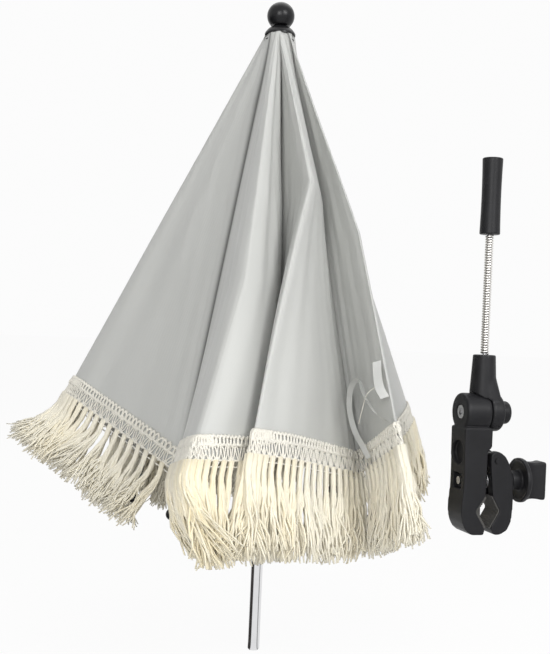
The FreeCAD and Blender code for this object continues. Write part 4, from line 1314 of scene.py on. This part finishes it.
@dataclass
class ClosingStrap:
    """The canopy's closing strap: a loose loop with its tail, a sewn tab and a stray thread."""

    half: HalfGore
    loop: tuple[Triple, ...] = (
        (0.84, 0.026, 0.003), (0.70, 0.034, 0.008), (0.58, 0.050, 0.010),
        (0.46, 0.064, 0.010), (0.30, 0.064, 0.010), (0.20, 0.052, 0.009),
        (0.20, 0.036, 0.008), (0.28, 0.022, 0.007), (0.32, 0.012, 0.005),
    )
    tab: tuple[Triple, ...] = (
        (0.78, 0.070, 0.003), (0.82, 0.060, 0.005), (0.86, 0.050, 0.006), (0.89, 0.042, 0.005),
    )
    thread: tuple[Triple, ...] = (
        (0.84, 0.052, 0.006), (0.66, 0.050, 0.010), (0.50, 0.043, 0.011), (0.36, 0.036, 0.010),
    )
    width: float = 0.0040
    tab_width: float = 0.0062
    thread_width: float = 0.0005

    def build(self, material: Material, cotton: Material) -> list[Object]:
        """Builds the three strips, which are sewn to the gore and go with its sheet."""
        strap = Ribbon("closing_strap_loop", self.half, self.loop, self.width).build(material)
        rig.replaces(strap, "closing_strap")
        tab = Ribbon("closing_strap_tab", self.half, self.tab, self.tab_width).build(material)
        thread = Ribbon("closing_strap_thread", self.half, self.thread, self.thread_width).build(cotton)
        return [strap, tab, thread]


@dataclass
class Canopy:
    """The whole canopy: sixteen half gores with their trim, the closing strap and eight tip tabs.

    The dictionaries hold what sets a gore or a half apart from its neighbours, by gore or by label.
    """

    frame: CanopyFrame = field(default_factory=CanopyFrame)
    bends: dict[int, CrestBend] = field(
        default_factory=lambda: {
            1: CrestBend(0.62, (0.012, -0.006, 0.0)),
            2: CrestBend(0.41, (0.036, 0.004, 0.0)),
            3: CrestBend(0.52, (0.011, 0.010, 0.0)),
        }
    )
    halves: dict[str, dict[str, Any]] = field(
        default_factory=lambda: {
            "1b": {"lip_size": 0.0008, "seam_depth": 0.95},
            "2a": {"lip_size": 0.0, "seam_depth": 0.95},
            "2b": {"bow_share": 0.24},
            "3a": {"bow_share": -0.12},
            "3b": {"bow_share": 0.10},
            "4a": {"bow_share": -0.08},
        }
    )
    rows: dict[str, dict[str, Any]] = field(
        default_factory=lambda: {
            "1a": {"length": 0.048, "kick": (-0.62, 0.0, 0.20)},
            "1b": {"length": 0.048, "kick": (-0.62, 0.0, 0.20), "bare": 0.07, "kick_floor": 0.45},
            "2a": {"kick": (0.60, 0.0, 0.0), "bare": 0.24, "kick_floor": 1.0},
        }
    )
    strap_half: str = "4a"
    cloth_kept: float = 0.08
    tassels_kept: float = 0.25

    def build(self, finishes: dict[str, Material]) -> None:
        """Builds the half gores one after the other, and then the tabs."""
        for gore in range(self.frame.rib_count):
            for side in Side:
                self._half(gore, side, finishes)
        for rib in range(self.frame.rib_count):
            tab = TipTab(self.frame, rib)
            piece = tab.build(finishes["satin"])
            flat, ribs = (tab.wide, tab.length), [f"rib_{rib + 1}"]
            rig.sheet(piece, flat=flat, held="stretched", rests_on=ribs, area=tab.area)

    def _half(self, gore: int, side: Side, finishes: dict[str, Material]) -> None:
        """Builds one half gore with all that is sewn to it."""
        own = self.halves.get(f"{gore + 1}{side.value}", {})
        half = HalfGore(self.frame, gore, side, self.bends.get(gore, CrestBend()), **own)
        sheet = half.cloth(finishes["satin"])
        braid = HemBraid(half).build(finishes["braid"])
        tassels = TasselRow(half, **self.rows.get(half.label, {})).build(finishes["fringe"])
        trim = [braid, tassels]
        if half.label == self.strap_half:
            trim += ClosingStrap(half).build(finishes["satin"], finishes["braid"])
        ribs = [f"rib_{half.rib_of('rib') % self.frame.rib_count + 1}"]
        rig.sheet(sheet, flat=half.flat, held="hung", rests_on=ribs, area=half.area, with_pieces=trim)
        for piece in (sheet, *trim):
            half.pull_taut(piece, self.tassels_kept if piece is tassels else self.cloth_kept)


@dataclass
class Gooseneck:
    """The bending arm between the neck and the sleeve: a tight wire winding round a core rod."""

    centre: Pair = (0.1704, -0.016)
    low: float = 0.2362
    high: float = 0.3301
    radius: float = 0.0034
    wire: float = 0.00088
    turns: int = 46
    steps: int = 18
    core: float = 0.0014
    hold: float = 0.012
    end_gap: float = 0.0006
    wire_sides: int = 8
    core_sides: int = 14
    core_cuts: int = 24

    def build(self, wire: Material, rod: Material) -> list[Object]:
        """Builds the winding and the core, both bending with the arm."""
        pieces = [
            mesh_object("gooseneck_winding", self._winding(), wire),
            mesh_object("gooseneck_rod", self._rod(), rod),
        ]
        ends = [(*self.centre, z) for z in (self.low, self.high)]
        for piece, stands_for, slot in zip(
            pieces, ("gooseneck_coil", "gooseneck_core"), (Slot.COIL, Slot.STEEL)
        ):
            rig.blend(piece, "arm", "arm_top", start=ends[0], end=ends[1])
            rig.replaces(piece, stands_for)
            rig.slot(piece, slot.value)
            log.info("%s bends between arm and arm_top", piece.name)
        return pieces

    def _winding(self) -> BMesh:
        """One wire spun up round the arm's axis, with closed ends."""
        bm = bmesh.new()
        x, y = self.centre
        start = Vector((x + self.radius - self.wire, y, self.low + self.wire))
        standing_circle(bm, self.wire, self.wire_sides, start)
        count = self.turns * self.steps
        rise = (self.high - self.low - 2 * self.wire) / count
        bmesh.ops.spin(
            bm,
            geom=bm.verts[:] + bm.edges[:],
            cent=(x, y, 0),
            axis=(0, 0, 1),
            dvec=(0, 0, rise),
            angle=math.tau * self.turns,
            steps=count,
        )
        ends = [e for e in bm.edges if e.is_boundary]
        bmesh.ops.holes_fill(bm, edges=ends, sides=self.wire_sides)
        bmesh.ops.recalc_face_normals(bm, faces=bm.faces[:])
        return bm

    def _rod(self) -> BMesh:
        """The core, cut into short lengths so that it bends."""
        length = self.high - self.low + 2 * self.hold - self.end_gap
        middle = (self.low + self.high) / 2
        bm = upright_cone(self.core_sides, (self.core, self.core), length, (*self.centre, middle))
        long = edges_along(bm, 2, length / 2)
        bmesh.ops.subdivide_edges(bm, edges=long, cuts=self.core_cuts, use_grid_fill=False)
        return bm


class Axis(Enum):
    """The clamp's own level directions that a round piece may lie along."""

    ALONG = "Y"
    DEEP = "X"


def turned_rod(
    axis: Axis, ends: Pair, radius: float, centre: Pair, edge: float = 0.0, sides: int = ROUND_SIDES
) -> BMesh:
    """A round bar in the clamp's own frame.

    Args:
        axis: The direction that it lies along.
        ends: Where it starts and ends in that direction.
        radius: Its radius.
        centre: The other level place and the height of its axis.
        edge: How far its rims are rounded.
        sides: How many sides stand for the round.

    Returns:
        The bar.
    """
    length = ends[1] - ends[0]
    bm = upright_cone(sides, (radius, radius), length, (0.0, 0.0, 0.0))
    if edge:
        long = set(edges_along(bm, 2, length / 2))
        round_edges(bm, [e for e in bm.edges if e not in long], edge, segments=5)
    turn = Matrix.Rotation(math.pi / 2, 3, axis.value)
    bmesh.ops.rotate(bm, verts=bm.verts[:], cent=(0, 0, 0), matrix=turn)
    middle = (ends[0] + ends[1]) / 2
    shift = (middle, *centre) if axis is Axis.ALONG else (centre[0], middle, centre[1])
    bmesh.ops.translate(bm, verts=bm.verts[:], vec=shift)
    return bm


def brick(low: Triple, high: Triple, cuts: int = 0) -> BMesh:
    """A box between two corners, cut across its first direction as often as wanted."""
    bm = bmesh.new()
    bmesh.ops.create_cube(bm, size=1.0)
    if cuts:
        bmesh.ops.subdivide_edges(bm, edges=edges_along(bm, 0, 0.5), cuts=cuts)
    for vert in bm.verts:
        vert.co = Vector(a + (b - a) * (c + 0.5) for a, b, c in zip(low, high, vert.co))
    return bm


def plate(outline: list[Pair], depth: float, corner: float = 0.0) -> BMesh:
    """A plate of that depth whose face is an outline of places along and up, its corners rounded."""
    bm = bmesh.new()
    face = bm.faces.new([bm.verts.new((x, -depth / 2, z)) for x, z in outline])
    pushed = bmesh.ops.extrude_face_region(bm, geom=[face])["geom"]
    back = [g for g in pushed if isinstance(g, bmesh.types.BMVert)]
    bmesh.ops.translate(bm, verts=back, vec=(0, depth, 0))
    if corner:
        round_edges(bm, edges_along(bm, 1, depth / 2), corner, segments=4, clamp=True)
    bmesh.ops.recalc_face_normals(bm, faces=bm.faces[:])
    return bm


@dataclass
class Moulding:
    """A moulded piece: solids melted into one, cut-outs taken away, and its edges eased."""

    solids: list[BMesh]
    cuts: list[BMesh] = field(default_factory=list)
    grain: float = 0.0006
    pull: float = 0.5
    easing: int = 4

    def shape(self) -> BMesh:
        """The finished piece in the clamp's own frame."""
        whole = bmesh.new()
        for solid in self.solids:
            whole.from_mesh(small_shape("moulding_solid", solid))
        if self.cuts:
            whole = self._through(whole, self._remesh)
            for cut in self.cuts:
                whole = self._through(whole, self._taken_by(cut))
        return self._through(whole, self._remesh, self._ease)

    @staticmethod
    def _through(bm: BMesh, *steps: Callable[[Object], None]) -> BMesh:
        """Takes a bmesh through some modifiers."""
        worker = bpy.data.objects.new("moulding", small_shape("moulding", bm))
        bpy.context.scene.collection.objects.link(worker)
        for step in steps:
            step(worker)
        graph = bpy.context.evaluated_depsgraph_get()
        mesh = bpy.data.meshes.new_from_object(worker.evaluated_get(graph))
        made = bmesh.new()
        made.from_mesh(mesh)
        for modifier in worker.modifiers:
            if modifier.type == "BOOLEAN":
                bpy.data.objects.remove(modifier.object)
        bpy.data.objects.remove(worker)
        bpy.data.meshes.remove(mesh)
        return made

    def _remesh(self, worker: Object) -> None:
        """One even skin over all the solids."""
        step = worker.modifiers.new("skin", "REMESH")
        step.mode = "VOXEL"
        step.voxel_size = self.grain

    def _ease(self, worker: Object) -> None:
        """Rounds the edges a little."""
        step = worker.modifiers.new("ease", "SMOOTH")
        step.factor = self.pull
        step.iterations = self.easing

    @staticmethod
    def _taken_by(cut: BMesh) -> Callable[[Object], None]:
        """The step that takes one cut-out away."""
        tool = bpy.data.objects.new("moulding_cut", small_shape("moulding_cut", cut))
        bpy.context.scene.collection.objects.link(tool)

        def take(worker: Object) -> None:
            """Adds the Boolean."""
            step = worker.modifiers.new("cut", "BOOLEAN")
            step.operation = "DIFFERENCE"
            step.object = tool

        return take


@dataclass
class ClampArm:
    """The moulded pieces of the clamp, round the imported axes: body, jaw, pads, arm, button and knob.

    Sizes are in metres in the clamp's own frame: along to the right, deep away from the eye, up.
    """

    origin: Triple = (0.1704, -0.016, 0.0)
    turn: float = 17.0
    reach: float = 0.030
    corner: float = 0.0016
    knuckle: float = 0.1914
    barrel: float = 0.0148
    barrel_left: float = -0.0190
    barrel_right: float = 0.0133
    barrel_edge: float = 0.002
    seam: float = 0.0024
    seam_gap: float = 0.0002
    sweep_gap: float = 0.0003
    body_depth: float = 0.0245
    wall_left: float = -0.0196
    pin: Pair = (0.0090, 0.1548)
    lug: Pair = (0.0055, 0.0100)
    lug_root: float = -0.002
    recess: Triple = (0.0093, 0.1603, 0.0040)
    nut_window: Triple = (-0.0125, 0.0066, 0.0061)
    bolt_seat: Pair = (-0.0148, 0.0055)
    screw: float = 0.1383
    screw_bore: float = 0.0034
    screw_ends: Pair = (-0.016, 0.006)
    jaw_depth: float = 0.0232
    fork_gap: float = 0.0004
    fork_end: float = 0.0162
    fork_heights: Pair = (0.1462, 0.170)
    slot_width: float = 0.0036
    slot_heights: Pair = (-0.0110, 0.0054)
    pad_depth: float = 0.0215
    pad_sink: float = 0.0003
    pad_thick: float = 0.0019
    pad_rib: float = 0.0004
    pad_ribs: int = 8
    neck_top: float = 0.2362
    neck_sink: float = 0.006
    neck_radii: Pair = (0.0108, 0.0088)
    arm_edge: float = 0.0018
    flow_inset: float = 0.0014
    flow_collar: Pair = (0.0002, 0.030)
    flow_sides: int = 40
    arm_gap: float = 0.0004
    button: Triple = (0.0130, 0.0220, 0.0090)
    button_edge: float = 0.0022
    button_bed: float = 0.0056
    collar: Pair = (0.0260, 0.0076)
    cup: Triple = (0.0330, 0.0376, 0.0176)
    cup_edge: float = 0.0012
    cup_wall: float = 0.0018
    knob_bore: Pair = (0.0311, 0.0031)
    wing_end: float = 0.0562
    wing_root: float = 0.003
    wing_cuts: int = 11
    wing_edge: float = 0.0026
    wing_tall: Triple = (0.0168, 0.0018, 0.0016)
    wing_thick: Triple = (0.0082, 0.0012, 0.0030)
    waist_end: float = 1.15
    past: float = 0.01
    body_outline: tuple[Pair, ...] = (
        (-0.0198, 0.1800), (-0.0195, 0.1680), (-0.0188, 0.1420), (-0.0190, 0.1320), (-0.0201, 0.1200),
        (-0.0201, 0.1140), (-0.0188, 0.1070), (-0.0158, 0.1012), (-0.0110, 0.0976), (-0.0004, 0.0974),
        (0.0003, 0.1023), (-0.0080, 0.1156), (0.0000, 0.1272), (0.0004, 0.1620), (0.0040, 0.1652),
        (0.0040, 0.1800),
    )
    body_mouth: int = 10
    jaw_outline: tuple[Pair, ...] = (
        (0.0036, 0.1575), (0.0048, 0.1606), (0.0082, 0.1622), (0.0122, 0.1612), (0.0166, 0.1578),
        (0.0202, 0.1518), (0.0226, 0.1450), (0.0237, 0.1380), (0.0240, 0.1280), (0.0240, 0.1150),
        (0.0230, 0.1070), (0.0198, 0.1006), (0.0135, 0.0973), (0.0090, 0.0973), (0.0068, 0.0998),
        (0.0058, 0.1034), (0.0132, 0.1158), (0.0066, 0.1268), (0.0042, 0.1480),
    )
    jaw_mouth: int = 15

    def build(self, plastic: Material, rubber: Material) -> None:
        """Builds every moulded piece and lets it stand for its CAD node."""
        jobs = {
            "clamp_shell": (self._body, "shaft_and_clamp", "clamp_body", Slot.PLASTIC),
            "jaw_claw": (self._jaw, "moving_jaw", "moving_jaw", Slot.PLASTIC),
            "body_pad": (self._body_pad, "shaft_and_clamp", "fixed_pad", Slot.RUBBER),
            "claw_pad": (self._claw_pad, "moving_jaw", "moving_pad", Slot.RUBBER),
            "arm_elbow": (self._arm, "arm", "arm_knuckle", Slot.PLASTIC),
            "elbow_button": (self._button, "tilt_button", "tilt_button", Slot.PLASTIC),
            "wing_knob": (self._knob, "knob", "knob", Slot.PLASTIC),
        }
        turn = Matrix.Rotation(math.radians(self.turn), 3, "Z")
        for name, (make, body, node, slot) in jobs.items():
            bm = make()
            bmesh.ops.rotate(bm, verts=bm.verts[:], cent=(0, 0, 0), matrix=turn)
            bmesh.ops.translate(bm, verts=bm.verts[:], vec=self.origin)
            material = rubber if slot is Slot.RUBBER else plastic
            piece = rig.replaces(finish_piece(name, bm, material, body, slot), node)
            if slot is Slot.RUBBER:
                piece.data.shade_flat()

    @staticmethod
    def _bar(ends: Pair, radius: float, height: float, edge: float = 0.0) -> BMesh:
        """A round bar along the clamp at a height."""
        return turned_rod(Axis.ALONG, ends, radius, (0.0, height), edge)

    def _body(self) -> BMesh:
        """The long body under the left half of the barrel, with its lug, bolt seat, dimple and nut window."""
        radius, lug_depth = self.lug
        along, height = self.pin
        dimple, dimple_height, dimple_depth = self.recess
        window, deep, tall = self.nut_window
        seat, seat_radius = self.bolt_seat
        split = self.seam - self.seam_gap
        solids = [
            plate(list(self.body_outline), self.body_depth, self.corner),
            self._bar((self.barrel_left, split), self.barrel, self.knuckle, self.barrel_edge),
            turned_rod(Axis.DEEP, (-lug_depth / 2, lug_depth / 2), radius, (along, height)),
            brick((self.lug_root, -lug_depth / 2, height - radius), (along, lug_depth / 2, height + radius)),
        ]
        cuts = [
            self._bar((-self.reach, self.wall_left + dimple_depth), dimple, dimple_height),
            brick((-self.reach, -deep, self.screw - tall), (window, deep, self.screw + tall)),
            self._bar(self.screw_ends, self.screw_bore, self.screw),
            self._bar((-self.reach, seat), seat_radius, self.knuckle),
            self._bar((split, self.reach), self.barrel + self.sweep_gap, self.knuckle),
        ]
        return Moulding(solids, cuts).shape()

    def _jaw(self) -> BMesh:
        """The claw, forked round the lug and slotted for the screw."""
        lug, slot = self.lug[1] / 2 + self.fork_gap, self.slot_width
        low, high = self.fork_heights
        under, over = (self.screw + height for height in self.slot_heights)
        cuts = [
            brick((self.lug_root, -lug, low), (self.fork_end, lug, high)),
            brick((self.lug_root, -slot, under), (self.reach, slot, over)),
        ]
        return Moulding([plate(list(self.jaw_outline), self.jaw_depth, self.corner)], cuts).shape()

    def _body_pad(self) -> BMesh:
        """The lining of the body's side of the mouth."""
        return self._pad(self.body_outline[self.body_mouth : self.body_mouth + 3], 1)

    def _claw_pad(self) -> BMesh:
        """The lining of the claw's side of the mouth."""
        return self._pad(self.jaw_outline[self.jaw_mouth : self.jaw_mouth + 3], -1)

    def _pad(self, corner: tuple[Pair, ...], side: int) -> BMesh:
        """A ribbed rubber lining of one side of the mouth: side is 1 where it faces right."""
        steps = self.pad_ribs * 2
        back = [Vector((x - side * self.pad_sink, z)) for x, z in corner]
        face = []
        for first, last in zip(back, back[1:]):
            run = last - first
            away = Vector((abs(run.y), -run.x * (1 if run.y > 0 else -1))).normalized() * side
            for step in range(steps + 1):
                raised = self.pad_thick + self.pad_rib * (step % 2)
                face.append(first + run * (step / steps) + Vector((away.x, away.y * side)) * raised)
        outline = [tuple(p) for p in back] + [tuple(p) for p in reversed(face)]
        return plate(outline, self.pad_depth)

    def _arm(self) -> BMesh:
        """The right half of the barrel, from which the neck flows up to the gooseneck."""
        first, last = self.seam + self.seam_gap, self.barrel_right
        low = self.knuckle + self.barrel - self.neck_sink
        middle = (0.0, 0.0, (self.neck_top + low) / 2)
        neck = upright_cone(ROUND_SIDES, self.neck_radii, self.neck_top - low, middle)
        half = self._bar((first, last), self.barrel, self.knuckle, self.arm_edge)
        cuts = [
            self._bar((-self.reach - self.past, first), self.barrel + self.arm_gap, self.knuckle),
            self._bar((self.button_bed, self.reach), self.button[2] + self.sweep_gap, self.knuckle),
        ]
        return Moulding([neck, half, self._flow(first, last)], cuts, easing=6).shape()

    def _flow(self, first: float, last: float) -> BMesh:
        """The hull that leads from the barrel's right half up into the neck."""
        wider, height = self.flow_collar
        flow = self._bar((first, last - self.flow_inset), self.barrel - self.arm_edge, self.knuckle)
        radius = self.neck_radii[1] + wider
        made = bmesh.ops.create_circle(flow, cap_ends=False, radius=radius, segments=self.flow_sides)
        bmesh.ops.translate(flow, verts=made["verts"], vec=(0.0, 0.0, self.knuckle + height))
        hull = bmesh.ops.convex_hull(flow, input=flow.verts[:])
        inner = [g for g in hull["geom_interior"] if isinstance(g, bmesh.types.BMVert)]
        bmesh.ops.delete(flow, geom=inner, context="VERTS")
        old = [f for f in flow.faces if f not in set(hull["geom"])]
        bmesh.ops.delete(flow, geom=old, context="FACES_ONLY")
        return flow

    def _button(self) -> BMesh:
        """The tilt button, its rim well rounded."""
        start, end, radius = self.button
        return Moulding([self._bar((start, end), radius, self.knuckle, self.button_edge)]).shape()

    def _knob(self) -> BMesh:
        """Shank, hollow cup and waisted wing."""
        start, radius = self.collar
        near, far, cup = self.cup
        bore_end, bore_radius = self.knob_bore
        disc = self._bar((near, far), cup, self.screw, self.cup_edge)
        ring = self._bar((near - self.past, near + self.cup_wall), cup - self.cup_wall, self.screw)
        hollow = Moulding([disc, self._wing(far)], [ring], easing=3).shape()
        shank = self._bar((start, near + self.wing_root), radius, self.screw)
        bore = self._bar((start - self.past, bore_end), bore_radius, self.screw)
        return Moulding([hollow, shank], [bore], easing=5).shape()

    def _wing(self, root: float) -> BMesh:
        """The knob's wing, waisted behind the cup and rounded at its end."""
        wing = brick((root - self.wing_root, -1.0, -1.0), (self.wing_end, 1.0, 1.0), self.wing_cuts)
        length = self.wing_end - root + self.wing_root
        for vert in wing.verts:
            share = (vert.co.x - root + self.wing_root) / length
            waist = math.sin(math.pi * min(1.0, share * self.waist_end))
            tall, thick = (
                size - slope * share - hollow * waist
                for size, slope, hollow in (self.wing_tall, self.wing_thick)
            )
            vert.co = (vert.co.x, vert.co.y * thick, self.screw + vert.co.z * tall)
        tips = [e for e in wing.edges if all(v.co.x > self.wing_end - 1e-5 for v in e.verts)]
        round_edges(wing, tips, self.wing_edge, segments=4)
        return wing


@dataclass
class CadDress:
    """Which finish each carried-over CAD node wears."""

    nodes: dict[str, Object]
    plastic: tuple[str, ...] = ("sleeve", "thrust_washer", "jaw_pin")
    gloss: tuple[str, ...] = ("finial", "crown_cap", "rib_notch", "runner")
    chrome: tuple[str, ...] = ("shaft", "end_plug")

    def dress(self, finishes: dict[str, Material]) -> None:
        """Gives every CAD node that stays in view its own finish."""
        for name, obj in self.nodes.items():
            if obj.hide_render:
                continue
            material = finishes[self._finish_of(name)]
            obj.data.materials.clear()
            obj.data.materials.append(material)
            log.info("%s wears %s", name, material.name)

    def _finish_of(self, name: str) -> str:
        """The finish's key for a node."""
        if name in self.plastic:
            return "plastic"
        if name in self.gloss or name.startswith("rib_") and name != "rib_pins":
            return "gloss"
        if name in self.chrome:
            return "chrome"
        return "steel"


@dataclass(frozen=True)
class Lamp:
    """A square soft lamp that points at the parasol's middle."""

    name: str
    place: Triple
    size: float
    power: float
    aim: Triple = (0.03, 0.0, 0.25)

    def build(self) -> None:
        """Hangs the lamp."""
        data = bpy.data.lights.new(self.name, "AREA")
        data.size = self.size
        data.energy = self.power
        lamp = bpy.data.objects.new(self.name, data)
        lamp.location = self.place
        lamp.rotation_mode = "QUATERNION"
        lamp.rotation_quaternion = (Vector(self.aim) - Vector(self.place)).to_track_quat("-Z", "Y")
        bpy.context.scene.collection.objects.link(lamp)


BRIGHT: Colour = (1.0, 1.0, 1.0)
GREY: Colour = (0.30, 0.30, 0.30)
DARK: Colour = (0.03, 0.026, 0.024)


@dataclass
class Studio:
    """Pale floor, soft lamps, even light from all round and the photograph's camera.

    The flags are what the floor shows to reflections, by the share of a turn round the object.
    """

    floor_height: float = -0.0068
    floor_radius: float = 14.0
    floor_sides: int = 96
    paper: Colour = (0.86, 0.86, 0.86)
    white_share: float = 0.95
    flags: tuple[tuple[float, Colour], ...] = (
        (0.0, DARK), (0.10, DARK), (0.125, BRIGHT), (0.40, BRIGHT), (0.415, GREY),
        (0.45, GREY), (0.47, BRIGHT), (0.89, BRIGHT), (0.91, DARK),
    )
    air_light: float = 0.30
    air_shown: float = 0.972
    lamps: tuple[Lamp, ...] = (
        Lamp("key", (0.95, -1.35, 1.05), 0.7, 17.0),
        Lamp("front", (-0.35, -1.85, 0.80), 0.8, 17.0),
        Lamp("top", (0.1, 0.4, 1.5), 1.2, 5.0),
    )
    eye: Triple = (0.0061, -0.850, 0.2507)
    roll: float = 2.5
    lens: float = 58.8
    sensor: float = 36.0

    def build(self) -> None:
        """Builds the stage, the world, the lamps and the camera."""
        self._stage()
        self._world()
        for lamp in self.lamps:
            lamp.build()
        self._camera()

    def _stage(self) -> None:
        """One round sheet of paper that the object stands on."""
        bm = bmesh.new()
        bmesh.ops.create_circle(bm, cap_ends=True, radius=self.floor_radius, segments=self.floor_sides)
        bmesh.ops.translate(bm, verts=bm.verts[:], vec=(0, 0, self.floor_height))
        floor = mesh_object("studio_paper_floor", bm, self._paper())
        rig.stage(floor)

    def _paper(self) -> Material:
        """Paper that reads as white to the eye, with the flags in reflections, and keeps a faint shadow."""
        tree = ShaderTree("studio_paper")
        matt = tree.node("ShaderNodeBsdfDiffuse", None, {"Color": opaque(self.paper)})
        turn = {"Vector": tree.place()}
        around = tree.node("ShaderNodeTexGradient", {"gradient_type": "RADIAL"}, turn, "Fac")
        flags = tree.node("ShaderNodeValToRGB", {"stops": self.flags}, {"Fac": around}, "Color")
        shown = tree.mix(tree.ray("Glossy"), BRIGHT, flags)
        white = tree.node("ShaderNodeEmission", None, {"Color": shown, "Strength": 1.0})
        seen = tree.seen() * self.white_share
        tree.close(tree.node("ShaderNodeMixShader", None, {0: seen, 1: matt, 2: white}))
        return tree.owner

    def _world(self) -> None:
        """Even pale light from all round, seen as white."""
        tree = ShaderTree("studio_air", world=True)
        lit, shown = (
            tree.node("ShaderNodeBackground", None, {"Color": opaque(BRIGHT), "Strength": strength})
            for strength in (self.air_light, self.air_shown)
        )
        tree.close(tree.node("ShaderNodeMixShader", None, {0: tree.seen(), 1: lit, 2: shown}))
        bpy.context.scene.world = tree.owner

    def _camera(self) -> None:
        """The photograph's eye: level, straight on, a little rolled."""
        data = bpy.data.cameras.new("eye")
        data.lens = self.lens
        data.sensor_width = self.sensor
        camera = bpy.data.objects.new("eye", data)
        camera.location = self.eye
        camera.rotation_euler = (math.pi / 2, -math.radians(self.roll), 0.0)
        bpy.context.scene.collection.objects.link(camera)
        bpy.context.scene.camera = camera


def main() -> None:
    """Builds every piece in order and writes both boxes."""
    logging.basicConfig(level=logging.INFO, format="%(message)s")
    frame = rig.load()
    cad_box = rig.bounds()
    bpy.context.scene.view_settings.view_transform = "Standard"
    wanted = {
        "plastic": MouldedPlastic(),
        "gloss": MouldedPlastic("gloss_black", (0.006, 0.006, 0.007), (0.012, 0.012, 0.013), (0.22, 0.34)),
        "chrome": PlatedMetal("tube_chrome", (0.80, 0.80, 0.81), (0.05, 0.12)),
        "steel": PlatedMetal("zinc_steel", (0.55, 0.55, 0.56), (0.22, 0.38), (600.0, 600.0, 600.0)),
        "coil": PlatedMetal("coil_wire", (0.78, 0.76, 0.73), (0.14, 0.26), (700.0, 700.0, 700.0)),
        "rubber": JawRubber(),
        "satin": SatinCloth(),
        "fringe": FringeCotton(),
        "braid": BraidCotton(),
    }
    finishes = {key: finish.material() for key, finish in wanted.items()}
    Canopy().build(finishes)
    Gooseneck().build(finishes["coil"], finishes["steel"])
    ClampArm().build(finishes["plastic"], finishes["rubber"])
    CadDress(frame["nodes"]).dress(finishes)
    Studio().build()
    boxes = {"cad": [list(c) for c in cad_box], "visual": [list(c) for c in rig.bounds()]}
    with open("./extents.json", "w") as out:
        json.dump(boxes, out)


if __name__ == "__main__":
    main()
